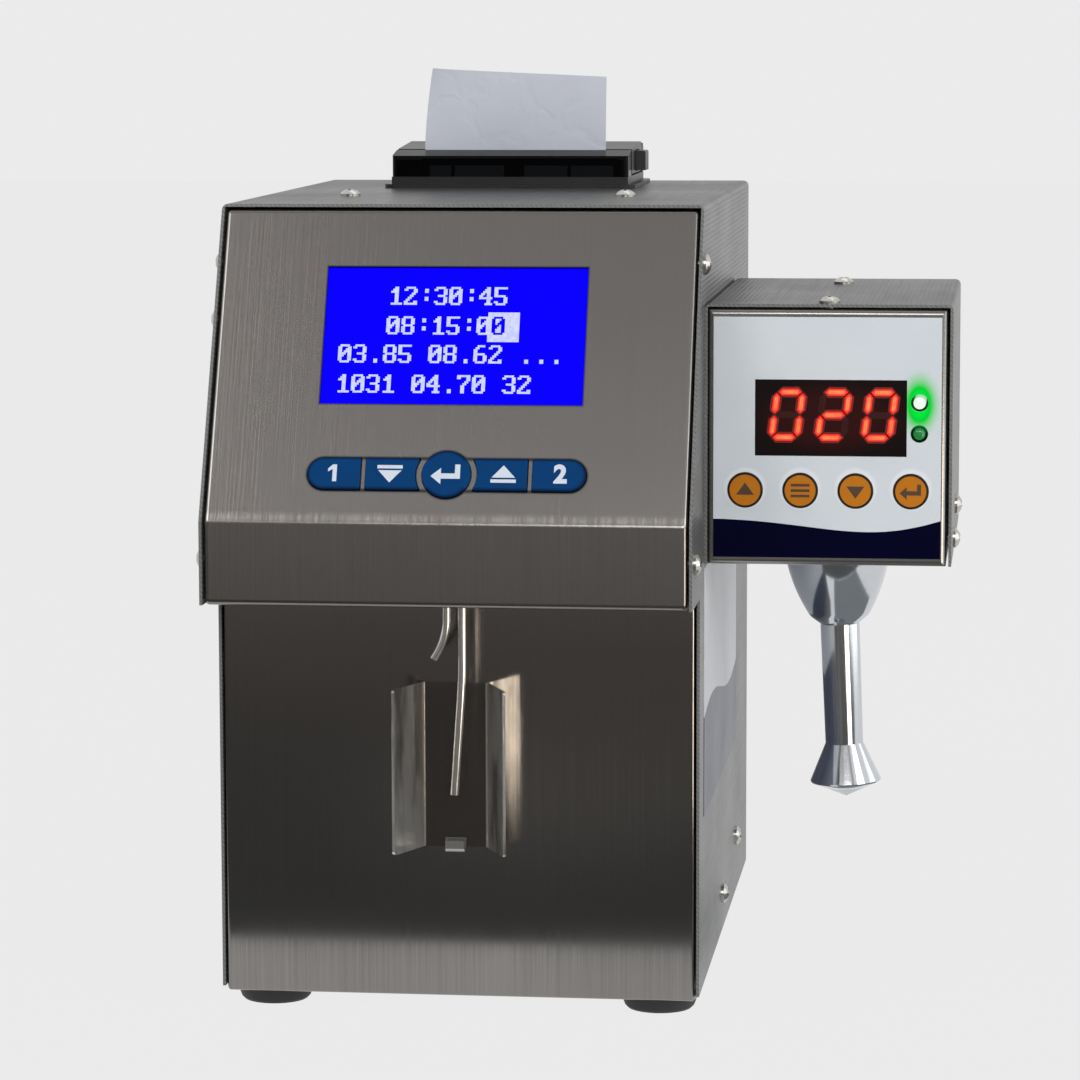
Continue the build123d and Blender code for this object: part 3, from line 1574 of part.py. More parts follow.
stirrer_key_places = front_places(
    stirrer_key_z,
    *[
        stirrer_key_x + (number - (stirrer_key_count - 1) / 2) * stirrer_key_pitch
        for number in range(stirrer_key_count)
    ]
)
led_places = [(tray_mid_x + led_x, tray_mid_z + z) for z in led_z]
window_place = (tray_mid_x + window_x, tray_mid_z + window_z)
horn_hole = horn_mouth_radius + horn_hole_gap
with BuildPart() as stirrer_tray:
    with BuildSketch(facing_front(stirrer_front + tray_return)):
        span(tray_left, tray_right, stirrer_low, tray_top)
    extrude(amount=tray_return)
    fillet(stirrer_tray.faces().sort_by(Axis.Y)[0].edges(), radius=tray_round)
    with BuildSketch(facing_front(stirrer_front + tray_return + overrun)):
        span(tray_left + panel_sheet, tray_right - panel_sheet,
             stirrer_low + panel_sheet, tray_top - panel_sheet)
    extrude(amount=tray_return + overrun - panel_sheet, mode=Mode.SUBTRACT)
    with BuildSketch(level(stirrer_low)):
        span(tray_left, tray_right, stirrer_front + tray_return / 2, stirrer_rear)
    extrude(amount=panel_sheet)
    with BuildSketch(facing_front(stirrer_rear)):
        span(tray_left, tray_right, stirrer_low, tray_top)
    extrude(amount=panel_sheet)
    with BuildSketch(level(tray_top)):
        span(tray_left, tray_right, stirrer_rear - tray_top_flange, stirrer_rear)
    extrude(amount=-panel_sheet)
    for left, right in ((tray_left, tray_left + panel_sheet), (tray_right - panel_sheet, tray_right)):
        with BuildSketch(level(stirrer_low)):
            span(left, right, stirrer_front + tray_return + panel_sheet, stirrer_rear - panel_sheet)
        extrude(amount=tray_side_flange)
    with BuildSketch(facing_front(stirrer_front)):
        with Locations(window_place):
            Rectangle(window_width + 2 * running, window_height + 2 * running)
        with Locations(*led_places):
            Circle(led_radius + led_hole_gap)
        with Locations(*stirrer_key_places):
            Circle(stirrer_key_radius + stirrer_key_gap)
    extrude(amount=-panel_sheet, mode=Mode.SUBTRACT)
    for x in (-1, 1):
        for z in (-1, 1):
            with BuildSketch(facing_front(stirrer_front + panel_sheet / 2)):
                with Locations((
                    tray_mid_x + x * (stirrer_board_width / 2 - stirrer_stud_inset),
                    tray_mid_z + z * (stirrer_board_height / 2 - stirrer_stud_inset),
                )):
                    Circle(stud_radius)
            extrude(amount=-(stirrer_board_depth - panel_sheet / 2))
    holes([moved_to(level(stirrer_low + panel_sheet), stirrer_mid_x, horn_y)],
          horn_hole, panel_sheet)
    tray_seats = [moved_to(facing_right(tray_right), place.origin.Y, place.origin.Z)
                  for place in stirrer_side_screws]
    tray_seats += [moved_to(level(tray_top), stirrer_mid_x, place.origin.Y)
                   for place in stirrer_top_screws]
    holes(tray_seats, screw_radius + running, panel_sheet)
keep(stirrer_tray, "stirrer_tray")

# Printed overlay and smoked window on the tray's front
with BuildPart() as stirrer_overlay:
    with BuildSketch(facing_front(stirrer_front)):
        with Locations((tray_mid_x, tray_mid_z)):
            Rectangle(overlay_width, overlay_height)
        with Locations(window_place):
            Rectangle(window_width + 2 * running, window_height + 2 * running, mode=Mode.SUBTRACT)
        with Locations(*led_places):
            Circle(led_radius + led_hole_gap, mode=Mode.SUBTRACT)
        with Locations(*stirrer_key_places):
            Circle(stirrer_key_radius + stirrer_key_gap, mode=Mode.SUBTRACT)
    extrude(amount=overlay_thickness)
keep(stirrer_overlay, "stirrer_overlay")

overlay_y = stirrer_front - overlay_thickness
with BuildPart() as display_window:
    with BuildSketch(facing_front(overlay_y)):
        with Locations(window_place):
            Rectangle(window_width, window_height)
    extrude(amount=-window_thickness)
keep(display_window, "display_window")

# Stirrer board with the digit module and a switch behind each key
stirrer_board_y = stirrer_front + stirrer_board_depth
stirrer_switch_y = stirrer_board_y - stirrer_switch_height
with BuildPart() as stirrer_board:
    with BuildSketch(facing_front(stirrer_board_y)):
        with Locations((tray_mid_x, tray_mid_z)):
            Rectangle(stirrer_board_width, stirrer_board_height)
    extrude(amount=-board_thickness)
    with BuildSketch(facing_front(stirrer_board_y)):
        with Locations(*stirrer_key_places):
            Rectangle(switch_size, switch_size)
    extrude(amount=stirrer_switch_height)
    with BuildSketch(facing_front(stirrer_switch_y)):
        with Locations(*stirrer_key_places):
            Circle(key_stem_radius + running)
    extrude(amount=-switch_well_depth, mode=Mode.SUBTRACT)
    with BuildSketch(facing_front(stirrer_board_y)):
        with Locations(window_place):
            Rectangle(digit_width, digit_height)
    extrude(amount=stirrer_board_y - (overlay_y + window_thickness + digit_front_gap))
keep(stirrer_board, "stirrer_board")

with BuildPart() as indicator_lights:
    with BuildSketch(facing_front(stirrer_board_y)):
        with Locations(*led_places):
            Circle(led_radius)
    extrude(amount=stirrer_board_y - overlay_y + led_proud)
    domes = indicator_lights.edges().group_by(Axis.Y)[0]
    fillet(domes, radius=led_dome)
keep(indicator_lights, "indicator_lights")

# Stirrer keys
for number, place in enumerate(stirrer_key_places, start=1):
    with BuildPart() as stirrer_key:
        flange_y = stirrer_front + panel_sheet + running
        with BuildSketch(facing_front(overlay_y - stirrer_key_proud)):
            with Locations(place):
                Circle(stirrer_key_radius)
        extrude(amount=-(flange_y - overlay_y + stirrer_key_proud))
        fillet(stirrer_key.edges().group_by(Axis.Y)[0], radius=stirrer_key_edge)
        with BuildSketch(facing_front(flange_y)):
            with Locations(place):
                Circle(stirrer_key_radius + stirrer_key_flange)
        extrude(amount=-stirrer_key_flange_thickness)
        with BuildSketch(facing_front(flange_y)):
            with Locations(place):
                Circle(key_stem_radius)
        extrude(amount=-(stirrer_switch_y + switch_grip - flange_y))
    keep(stirrer_key, f"stirrer_key_{number}")

# Horn under the box, its gasket and the driving stack, all on one leaning axis
lean = radians(horn_lean)
horn_seat = Plane(
    origin=(body_x + stirrer_mid_x, horn_y, stirrer_low),
    x_dir=(cos(lean), 0, sin(lean)),
    z_dir=(-sin(lean), 0, cos(lean)),
)
horn_section = Plane(origin=horn_seat.origin, x_dir=horn_seat.x_dir, z_dir=(0, -1, 0))
horn_axis = Axis(horn_seat.origin, horn_seat.z_dir)
flange_low = panel_sheet + gasket_height
flange_high = flange_low + horn_flange_thickness
upper_high = flange_high + horn_upper_length
with BuildPart() as horn:
    with BuildSketch(horn_section):
        with BuildLine():
            Polyline(
                (horn_mouth_radius, 0),
                (horn_mouth_radius, flange_low),
                (horn_flange_radius, flange_low),
                (horn_flange_radius, flange_high),
                (horn_upper_radius, flange_high),
                (horn_upper_radius, upper_high),
                (bolt_radius, upper_high),
                (bolt_radius, flange_low),
                (0, flange_low),
                (0, -horn_point_drop),
                (horn_tip_radius - horn_tip_round, -horn_tip_drop - horn_tip_round),
                (horn_tip_radius, -horn_tip_drop),
                (horn_rod_radius, -horn_rod_drop),
                (horn_neck_radius, -horn_neck_drop),
                (horn_heel_radius, -horn_heel_drop),
            )
            ThreePointArc(
                (horn_heel_radius, -horn_heel_drop),
                (horn_bell_radius, -horn_bell_drop),
                (horn_mouth_radius, 0),
            )
        make_face()
    revolve(axis=horn_axis)
keep(horn, "horn")

with BuildPart() as horn_gasket:
    with BuildSketch(level(stirrer_low + panel_sheet)):
        with Locations((stirrer_mid_x, horn_y)):
            Circle(horn_flange_radius)
            Circle(horn_hole, mode=Mode.SUBTRACT)
    extrude(amount=2 * gasket_height)
    split(bisect_by=horn_seat.offset(flange_low), keep=Keep.BOTTOM)
keep(horn_gasket, "horn_gasket")

with BuildPart() as driver_rings:
    for number in range(ring_count):
        with BuildSketch(horn_seat.offset(upper_high + number * ring_thickness)):
            Circle(ring_radius)
            Circle(ring_bore, mode=Mode.SUBTRACT)
        extrude(amount=ring_thickness - running)
keep(driver_rings, "driver_rings")

# Back mass of the stack with the bolt that draws it down to the horn
rings_high = upper_high + ring_count * ring_thickness - running
back_high = rings_high + back_length
with BuildPart() as driver_back:
    with BuildSketch(horn_seat.offset(rings_high)):
        Circle(back_radius)
    extrude(amount=back_length)
    with BuildSketch(horn_seat.offset(flange_low + running)):
        Circle(bolt_radius - running)
    extrude(amount=rings_high - flange_low)
    with BuildSketch(horn_seat.offset(back_high)):
        RegularPolygon(bolt_head_radius, 6)
    extrude(amount=bolt_head_height)
keep(driver_back, "driver_back")
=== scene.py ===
import math

import bpy
from mathutils import Matrix, Vector


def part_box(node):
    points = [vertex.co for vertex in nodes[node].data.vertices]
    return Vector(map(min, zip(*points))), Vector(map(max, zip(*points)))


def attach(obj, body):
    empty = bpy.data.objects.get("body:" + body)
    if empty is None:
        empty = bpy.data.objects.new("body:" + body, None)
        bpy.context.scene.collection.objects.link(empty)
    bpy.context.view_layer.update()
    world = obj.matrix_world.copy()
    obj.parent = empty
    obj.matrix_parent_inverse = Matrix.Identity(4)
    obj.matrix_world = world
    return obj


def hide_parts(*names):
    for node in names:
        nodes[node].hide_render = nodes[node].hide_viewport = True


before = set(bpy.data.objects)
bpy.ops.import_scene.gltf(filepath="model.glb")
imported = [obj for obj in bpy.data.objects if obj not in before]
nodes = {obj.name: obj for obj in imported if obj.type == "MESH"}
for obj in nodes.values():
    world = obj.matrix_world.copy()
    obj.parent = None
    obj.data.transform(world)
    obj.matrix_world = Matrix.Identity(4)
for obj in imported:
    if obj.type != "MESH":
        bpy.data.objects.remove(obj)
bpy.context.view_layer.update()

# places that several pieces share, in millimetres as on the drawing
body = {"middleX": -34.05, "frontY": -111.2, "creaseZ": 140.8, "slopeRun": 39.0, "slopeRise": 84.2}
keyRow = {"Row Height": 14.1, "Straight Half": 33.4, "Key Half": 4.6, "Round Radius": 6.7}
display = {"middle": 54.3, "halfWidth": 36.0, "halfHeight": 20.0}
stirrer = {
    "overlayY": -70.5, "keyFaceY": -70.85, "keyZ": 146.5, "firstKeyX": 44.25, "keyPitch": 15.2,
    "windowX": 67.75, "windowZ": 166.6, "lampX": 92.05, "lampZ": 170.9,
}


def mm(value):
    return value / 1000


def mmVector(x, y, z):
    return Vector((mm(x), mm(y), mm(z)))


def moveBy(x, y, z):
    return Matrix.Translation(mmVector(x, y, z))


def leaning(x, y, z, angle=math.pi / 2):
    # a plane that looks towards -Y, with its up along +Z, or leans back by a smaller angle
    return moveBy(x, y, z) @ Matrix.Rotation(angle, 4, "X")


tiltedFace = leaning(body["middleX"], body["frontY"], body["creaseZ"],
                     angle=math.atan2(body["slopeRise"], body["slopeRun"]))


def clearSelection():
    bpy.ops.object.select_all(action="DESELECT")


def takeNew(name):
    piece = bpy.context.object
    piece.name = name
    piece.data.name = name
    return piece


def selectOnly(*pieces):
    clearSelection()
    for piece in pieces:
        piece.select_set(True)
    bpy.context.view_layer.objects.active = pieces[0]


def openMesh(piece, kind, action):
    # edit mode, with all or nothing of the mesh selected
    selectOnly(piece)
    bpy.ops.object.mode_set(mode="EDIT")
    bpy.ops.mesh.select_mode(type=kind)
    bpy.ops.mesh.select_all(action=action)


def closeMesh():
    bpy.ops.object.mode_set(mode="OBJECT")


def settle(piece, matrix):
    # moves the finished mesh to its place and leaves the object at the origin
    piece.data.transform(matrix @ piece.matrix_world)
    piece.matrix_world = Matrix.Identity(4)
    piece.data.update()
    return piece


def joinAll(pieces, name):
    selectOnly(*pieces)
    bpy.ops.object.join()
    return takeNew(name)


def finishPiece(piece, bodyName, materialName):
    piece.data.materials.clear()
    piece.data.materials.append(bpy.data.materials[materialName])
    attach(piece, bodyName)


def thicken(piece, depth):
    # a flat outline in XY becomes a thin tile that stands proud along +Z
    openMesh(piece, "FACE", "SELECT")
    bpy.ops.mesh.extrude_region_move(TRANSFORM_OT_translate={"value": (0, 0, mm(depth))})
    bpy.ops.mesh.select_all(action="SELECT")
    bpy.ops.mesh.normals_make_consistent(inside=False)
    closeMesh()
    return piece


def flatShape(name, points, depth, matrix):
    # an outline of points, filled and thickened
    clearSelection()
    bpy.ops.mesh.primitive_circle_add(vertices=len(points), radius=1, fill_type="NGON")
    piece = takeNew(name)
    for vertex, (x, y) in zip(piece.data.vertices, points):
        vertex.co = mmVector(x, y, 0)
    return settle(thicken(piece, depth), matrix)


def rectangle(left, right, low, high):
    return [(left, low), (right, low), (right, high), (left, high)]


# every node tree that is made here, laid out at the end
trees = []


def feed(socket, value):
    # another node's output is linked, a number, vector or colour is set
    if isinstance(value, bpy.types.NodeSocket):
        socket.id_data.links.new(value, socket)
    elif socket.type == "RGBA":
        socket.default_value = (*value[:3], 1)
    else:
        socket.default_value = value


def feedAll(sockets, values):
    for socket, value in zip(sockets, values):
        feed(socket, value)


def treeOf(values):
    return next(value.id_data for value in values if isinstance(value, bpy.types.NodeSocket))


def addNode(tree, kind, **values):
    node = tree.nodes.new("ShaderNode" + kind)
    for key, value in values.items():
        if hasattr(node, key):
            setattr(node, key, value)
        else:
            feed(node.inputs[key], value)
    return node


def calc(operation, *values, clamp=False):
    node = addNode(treeOf(values), "Math", operation=operation, use_clamp=clamp)
    feedAll(node.inputs, values)
    return node.outputs[0]


def vectorCalc(operation, *values):
    node = addNode(treeOf(values), "VectorMath", operation=operation)
    feedAll(node.inputs, values)
    return node.outputs["Value" if operation in ("DOT_PRODUCT", "LENGTH") else "Vector"]


def mixColor(*values):
    # share of the second colour, first colour, second colour
    node = addNode(treeOf(values), "Mix", data_type="RGBA")
    feedAll([node.inputs[index] for index in (0, 6, 7)], values)
    return node.outputs[2]


def spread(value, fromLow, fromHigh, toLow=0.0, toHigh=1.0, smooth=False):
    node = addNode(value.id_data, "MapRange", interpolation_type="SMOOTHSTEP" if smooth else "LINEAR")
    feedAll(node.inputs, (value, fromLow, fromHigh, toLow, toHigh))
    return node.outputs[0]


def objectPlace(tree):
    return addNode(tree, "TexCoord").outputs["Object"]


def objectParts(tree):
    return addNode(tree, "SeparateXYZ", Vector=objectPlace(tree)).outputs


def noise(place, scale, detail, roughness=0.5):
    return addNode(place.id_data, "TexNoise", Vector=place, Scale=scale, Detail=detail,
                   Roughness=roughness).outputs["Fac"]


def distance(across, upwards):
    return calc("SQRT", calc("MULTIPLY_ADD", across, across, calc("MULTIPLY", upwards, upwards)))


def newGroup(name, inputs, outputs):
    # an input is a number, a vector of three or a colour of four; an output is a number, but for Color
    group = bpy.data.node_groups.new(name, "ShaderNodeTree")
    for label, value in inputs.items():
        kind = "Float" if isinstance(value, float) else {3: "Vector", 4: "Color"}[len(value)]
        socket = group.interface.new_socket(name=label, in_out="INPUT", socket_type="NodeSocket" + kind)
        socket.default_value = value
    for label in outputs:
        kind = "Color" if label == "Color" else "Float"
        group.interface.new_socket(name=label, in_out="OUTPUT", socket_type="NodeSocket" + kind)
    trees.append(group)
    return group, group.nodes.new("NodeGroupInput").outputs, group.nodes.new("NodeGroupOutput").inputs


# grain and cloudy tone over a surface, for every plain finish
surfaceGroup, given, result = newGroup(
    "surfaceDetail",
    {"Color": (0.5, 0.5, 0.5, 1), "Shade": (0.4, 0.4, 0.4, 1), "Stretch": (1, 1, 1), "Grain Scale": 900.0,
     "Cloud Scale": 25.0, "Grain Share": 0.5, "Smoothest": 0.3, "Roughest": 0.5},
    ("Color", "Roughness", "Height"))
place = objectPlace(surfaceGroup)
stretched = vectorCalc("MULTIPLY", place, given["Stretch"])
grain = spread(noise(stretched, given["Grain Scale"], 5.0, roughness=0.62), 0.25, 0.75)
cloud = spread(noise(place, given["Cloud Scale"], 4.0, roughness=0.55), 0.3, 0.7)
tone = spread(given["Grain Share"], 0.0, 1.0, cloud, grain)
feed(result["Color"], mixColor(tone, given["Color"], given["Shade"]))
feed(result["Roughness"], spread(tone, 0.0, 1.0, given["Smoothest"], given["Roughest"]))
feed(result["Height"], grain)

# even ridges in one direction, for embossed sheet and the rows of the display
ridgeGroup, given, result = newGroup(
    "evenRidges", {"Direction": (1, 0, 1), "Pitch": mm(1.3), "Waver": mm(0.3)}, ("Ridge",))
place = objectPlace(ridgeGroup)
along = vectorCalc("DOT_PRODUCT", place, given["Direction"])
swayed = calc("MULTIPLY_ADD", noise(place, 60.0, 2.0), given["Waver"], along)
wave = calc("SINE", calc("MULTIPLY", calc("DIVIDE", swayed, given["Pitch"]), math.tau))
feed(result["Ridge"], spread(wave, -1.0, 1.0))

# soft round spot about a point, for glows
spotGroup, given, result = newGroup(
    "roundSpot", {"Middle": (0, 0, 0), "Squash": (1, 0, 1), "Inner": mm(1.0), "Outer": mm(2.0)}, ("Inside",))
offset = vectorCalc("SUBTRACT", objectPlace(spotGroup), given["Middle"])
reach = vectorCalc("LENGTH", vectorCalc("MULTIPLY", offset, given["Squash"]))
feed(result["Inside"], spread(reach, given["Inner"], given["Outer"], 1.0, 0.0, smooth=True))

# sparse specks of dust and wear
speckGroup, given, result = newGroup("dustSpecks", {"Scale": 700.0, "Share": 0.12}, ("Mask",))
place = objectPlace(speckGroup)
cells = addNode(speckGroup, "TexVoronoi", Vector=place, Scale=given["Scale"])
reachable = calc("MULTIPLY", noise(place, 40.0, 3.0), given["Share"])
feed(result["Mask"], calc("LESS_THAN", cells.outputs["Distance"], reachable))

# distance from the outline of the front key row, below zero inside it
keyRowGroup, given, result = newGroup(
    "keyRowOutline",
    {"Crease": mmVector(body["middleX"], body["frontY"], body["creaseZ"]),
     **{label: mm(value) for label, value in keyRow.items()}},
    ("Sideways", "Upwards", "Distance"))
fromCrease = vectorCalc("SUBTRACT", objectPlace(keyRowGroup), given["Crease"])
slope = Vector((0, body["slopeRun"], body["slopeRise"])).normalized()
upwards = vectorCalc("DOT_PRODUCT", fromCrease, slope)
sideways = calc("ABSOLUTE", addNode(keyRowGroup, "SeparateXYZ", Vector=fromCrease).outputs["X"])
beyond = calc("MAXIMUM", calc("SUBTRACT", sideways, given["Straight Half"]), 0.0)
fromRow = calc("SUBTRACT", upwards, given["Row Height"])
feed(result["Sideways"], sideways)
feed(result["Upwards"], upwards)
feed(result["Distance"], calc("MINIMUM", calc("SUBTRACT", distance(beyond, fromRow), given["Key Half"]),
                              calc("SUBTRACT", distance(sideways, fromRow), given["Round Radius"])))

# distance from the middle of the nearest stirrer key
stirrerKeyGroup, given, result = newGroup("stirrerKeyReach", {"Height": mm(stirrer["keyZ"])}, ("Reach",))
x, _, z = objectParts(stirrerKeyGroup)
pitch = mm(stirrer["keyPitch"])
# ten pitches more, so that the modulo never gets a number below zero
shifted = calc("ADD", x, 10.5 * pitch - mm(stirrer["firstKeyX"]))
toMiddle = calc("SUBTRACT", calc("MODULO", shifted, pitch), pitch / 2)
feed(result["Reach"], distance(toMiddle, calc("SUBTRACT", z, given["Height"])))


def placeGroup(tree, group, **values):
    node = addNode(tree, "Group", node_tree=group)
    for key, value in values.items():
        feed(node.inputs[key], value)
    return node.outputs


def spotAt(tree, middle, inner, outer, squash=(1, 0, 1)):
    return placeGroup(tree, spotGroup, Middle=mmVector(*middle), Squash=squash, Inner=mm(inner),
                      Outer=mm(outer))["Inside"]


def newMaterial(name):
    material = bpy.data.materials.new(name)
    material.use_nodes = True
    trees.append(material.node_tree)
    return material, material.node_tree.nodes["Principled BSDF"]


def bumpFrom(shader, height, depth, strength):
    bump = addNode(shader.id_data, "Bump", Height=height, Distance=mm(depth), Strength=strength)
    feed(shader.inputs["Normal"], bump.outputs["Normal"])


def colorFrom(shader, color):
    feed(shader.inputs["Base Color"], color)


def glowFrom(shader, color, strength):
    feed(shader.inputs["Emission Color"], color)
    feed(shader.inputs["Emission Strength"], strength)


def finish(name, on, color, shade, rough, metallic=0.0, stretch=(1, 1, 1), grain=900.0, cloud=25.0,
           share=0.5, depth=0.04, strength=0.4, specks=0.0, speckColor=(0.5, 0.5, 0.48), coat=0.0,
           specular=0.5):
    # the names in "on" are the CAD nodes that wear it; lengths in millimetres
    material, shader = newMaterial(name)
    tree = shader.id_data
    detail = placeGroup(tree, surfaceGroup, Color=color, Shade=shade, Stretch=stretch, Smoothest=rough[0],
                        Roughest=rough[1],
                        **{"Grain Scale": grain, "Cloud Scale": cloud, "Grain Share": share})
    colorOut = detail["Color"]
    if specks:
        dust = placeGroup(tree, speckGroup, Scale=650.0, Share=specks)
        colorOut = mixColor(dust["Mask"], colorOut, speckColor)
    colorFrom(shader, colorOut)
    for label, value in (("Roughness", detail["Roughness"]), ("Metallic", metallic), ("Coat Weight", coat),
                         ("Specular IOR Level", specular)):
        feed(shader.inputs[label], value)
    bumpFrom(shader, detail["Height"], depth, strength)
    for node in on.split():
        nodes[node].data.materials.clear()
        nodes[node].data.materials.append(material)
    return tree, shader, detail["Color"]


print("groups ready")

upright = (1.0, 0.012, 0.012)      # brush lines run up the sheet
turned = (0.05, 1.0, 0.05)
finish("lowerSteel", "lower_panel", (0.305, 0.291, 0.279), (0.212, 0.203, 0.195), (0.08, 0.17),
       metallic=1.0, stretch=upright, grain=1500.0, cloud=11.0, share=0.6, depth=0.05, strength=0.2)
finish("rearSteel", "rear_panel", (0.42, 0.415, 0.405), (0.35, 0.345, 0.335), (0.26, 0.38),
       metallic=1.0, stretch=upright, grain=1500.0, cloud=14.0, depth=0.05, strength=0.3)
finish("traySteel", "stirrer_tray", (0.34, 0.33, 0.32), (0.22, 0.215, 0.21), (0.14, 0.28),
       metallic=0.92, stretch=(0.012, 0.012, 1.0), grain=1400.0, cloud=30.0, strength=0.3)
finish("sheetSteel", "base_plate inner_frame", (0.5, 0.495, 0.48), (0.42, 0.415, 0.4), (0.28, 0.42),
       metallic=1.0, stretch=turned, grain=700.0, cloud=18.0, depth=0.03)
finish("tubeSteel", "intake_tube outlet_tube", (0.8, 0.785, 0.76), (0.62, 0.605, 0.585), (0.16, 0.28),
       metallic=0.97, stretch=(1.0, 1.0, 0.04), grain=1600.0, cloud=60.0, depth=0.02)
finish("screwSteel", "case_screws serial_port", (0.66, 0.64, 0.6), (0.45, 0.43, 0.4), (0.12, 0.28),
       metallic=1.0, cloud=260.0, share=0.3, depth=0.03)
finish("motorSteel", "pump_motor driver_back", (0.55, 0.55, 0.54), (0.42, 0.42, 0.41), (0.25, 0.4),
       metallic=1.0, stretch=turned, grain=600.0, cloud=30.0)
finish("hornChrome", "horn", (0.68, 0.7, 0.735), (0.58, 0.605, 0.64), (0.08, 0.17), metallic=1.0,
       stretch=(0.2, 0.2, 1.0), grain=1200.0, cloud=40.0, share=0.35, depth=0.01, strength=0.15)
finish("brassFinish", "board_standoffs cell_crystals", (0.7, 0.5, 0.22), (0.55, 0.38, 0.16),
       (0.22, 0.38), metallic=1.0, grain=800.0, cloud=60.0)
finish("footRubber", "feet", (0.012, 0.012, 0.013), (0.022, 0.022, 0.022), (0.5, 0.72), grain=1400.0,
       cloud=60.0, depth=0.08, specks=0.16, speckColor=(0.1, 0.1, 0.095))
finish("gasketRubber", "horn_gasket", (0.02, 0.02, 0.021), (0.035, 0.035, 0.036), (0.5, 0.7))
finish("hoseSilicone", "pump_hose intake_hose", (0.72, 0.72, 0.68), (0.62, 0.62, 0.57), (0.3, 0.45),
       grain=500.0, cloud=50.0)
finish("printerGrey", "printer_case printer_lid", (0.0055, 0.0055, 0.006), (0.01, 0.01, 0.0105),
       (0.3, 0.42), grain=2600.0, cloud=30.0, share=0.6, depth=0.06, specks=0.07,
       speckColor=(0.05, 0.05, 0.05), specular=0.42)
finish("rollPaper", "paper_roll", (0.72, 0.73, 0.78), (0.64, 0.65, 0.71), (0.7, 0.85),
       stretch=(0.04, 1, 1), grain=2600.0, cloud=60.0, depth=0.05)
finish("platenRubber", "platen_roller", (0.018, 0.018, 0.019), (0.03, 0.03, 0.031), (0.55, 0.7),
       grain=1800.0)
finish("blackPlastic", "tube_block lcd_bezel printer_latch rocker_frame power_rocker power_inlet",
       (0.008, 0.008, 0.0085), (0.014, 0.014, 0.0145), (0.32, 0.5), grain=2200.0, cloud=50.0, depth=0.05)
finish("whitePlastic", "pump_housing pump_rotor pump_roller_1 pump_roller_2 pump_roller_3",
       (0.72, 0.72, 0.69), (0.66, 0.66, 0.63), (0.35, 0.5), grain=1800.0, cloud=50.0)
finish("cellPlastic", "measuring_cell", (0.62, 0.61, 0.56), (0.55, 0.54, 0.5), (0.4, 0.55),
       stretch=(1, 1, 0.1))
finish("ringCeramic", "driver_rings", (0.3, 0.28, 0.25), (0.24, 0.22, 0.2), (0.45, 0.6), grain=1500.0)
finish("headCeramic", "thermal_head", (0.66, 0.64, 0.58), (0.58, 0.56, 0.5), (0.15, 0.3),
       stretch=(0.05, 1, 1), grain=1500.0, coat=0.4)
# the marks and digits that are added further down
finish("symbolWhite", "", (0.66, 0.72, 0.8), (0.58, 0.65, 0.75), (0.4, 0.55), grain=2400.0, cloud=300.0)
finish("symbolDark", "", (0.05, 0.022, 0.008), (0.075, 0.035, 0.012), (0.45, 0.6), grain=2400.0, cloud=300.0)
finish("segmentDark", "", (0.03, 0.004, 0.003), (0.042, 0.006, 0.004), (0.3, 0.45), grain=1500.0,
       specular=0.2)
print("plain finishes done")


def fadingRim(away, full, gone, share):
    # full up to the first distance, gone at the second, in millimetres
    return spread(away, mm(full), mm(gone), share, 0.0)


# brushed head panel: a streaky strip of painted highlight just above its bend, painted shade at the edges
# round keys and display
def headFinish():
    look = {"lowZ": body["creaseZ"] - 0.6, "peakZ": body["creaseZ"] + 1.3, "highZ": body["creaseZ"] + 3.4,
            "streak": (0.43, 0.41, 0.39), "rim": (0.03, 0.028, 0.027), "keyShadeReach": (0.2, 0.75, 0.85),
            "displayShadeReach": (0.05, 0.5, 0.9)}
    tree, shader, color = finish(
        "headSteel", "head_panel", (0.3, 0.286, 0.276), (0.212, 0.202, 0.195), (0.18, 0.29), metallic=1.0,
        stretch=upright, grain=1500.0, cloud=12.0, share=0.62, depth=0.05, strength=0.28)
    z = objectParts(tree)["Z"]
    rising = spread(z, mm(look["lowZ"]), mm(look["peakZ"]), smooth=True)
    fading = spread(z, mm(look["peakZ"]), mm(look["highZ"]), 1.0, 0.0, smooth=True)
    lines = noise(vectorCalc("MULTIPLY", objectPlace(tree), (1.0, 0.02, 0.02)), 900.0, 3.0)
    # painted highlight: the light that the bend reflects, drawn as a streaky strip
    strip = calc("MULTIPLY", calc("MULTIPLY", rising, fading), spread(lines, 0.35, 0.65, 0.25))
    withBendHighlight = mixColor(strip, color, look["streak"])
    row = placeGroup(tree, keyRowGroup)
    shadeBesideKeys = fadingRim(calc("ABSOLUTE", row["Distance"]), *look["keyShadeReach"])
    beside = calc("SUBTRACT", row["Sideways"], mm(display["halfWidth"]))
    fromMiddle = calc("ABSOLUTE", calc("SUBTRACT", row["Upwards"], mm(display["middle"])))
    above = calc("SUBTRACT", fromMiddle, mm(display["halfHeight"]))
    shadeBesideDisplay = fadingRim(calc("MAXIMUM", beside, above), *look["displayShadeReach"])
    # painted shade round the keys and the display
    rim = calc("MAXIMUM", shadeBesideKeys, shadeBesideDisplay)
    colorFrom(shader, mixColor(rim, withBendHighlight, look["rim"]))


# blue keys, with painted shade darkening them towards the row's outline
def keyFinish():
    look = {"rim": (0.25, 1.0, 0.9), "edgeShadeColor": (0.0005, 0.01, 0.04)}
    tree, shader, color = finish(
        "keyBlue", "key_one key_down key_enter key_up key_two", (0.001, 0.05, 0.178), (0.001, 0.036, 0.14),
        (0.34, 0.46), grain=2000.0, cloud=130.0, depth=0.02, specks=0.04, speckColor=(0.02, 0.08, 0.21),
        specular=0.05)
    fromOutline = calc("ABSOLUTE", placeGroup(tree, keyRowGroup)["Distance"])
    colorFrom(shader, mixColor(fadingRim(fromOutline, *look["rim"]), color, look["edgeShadeColor"]))
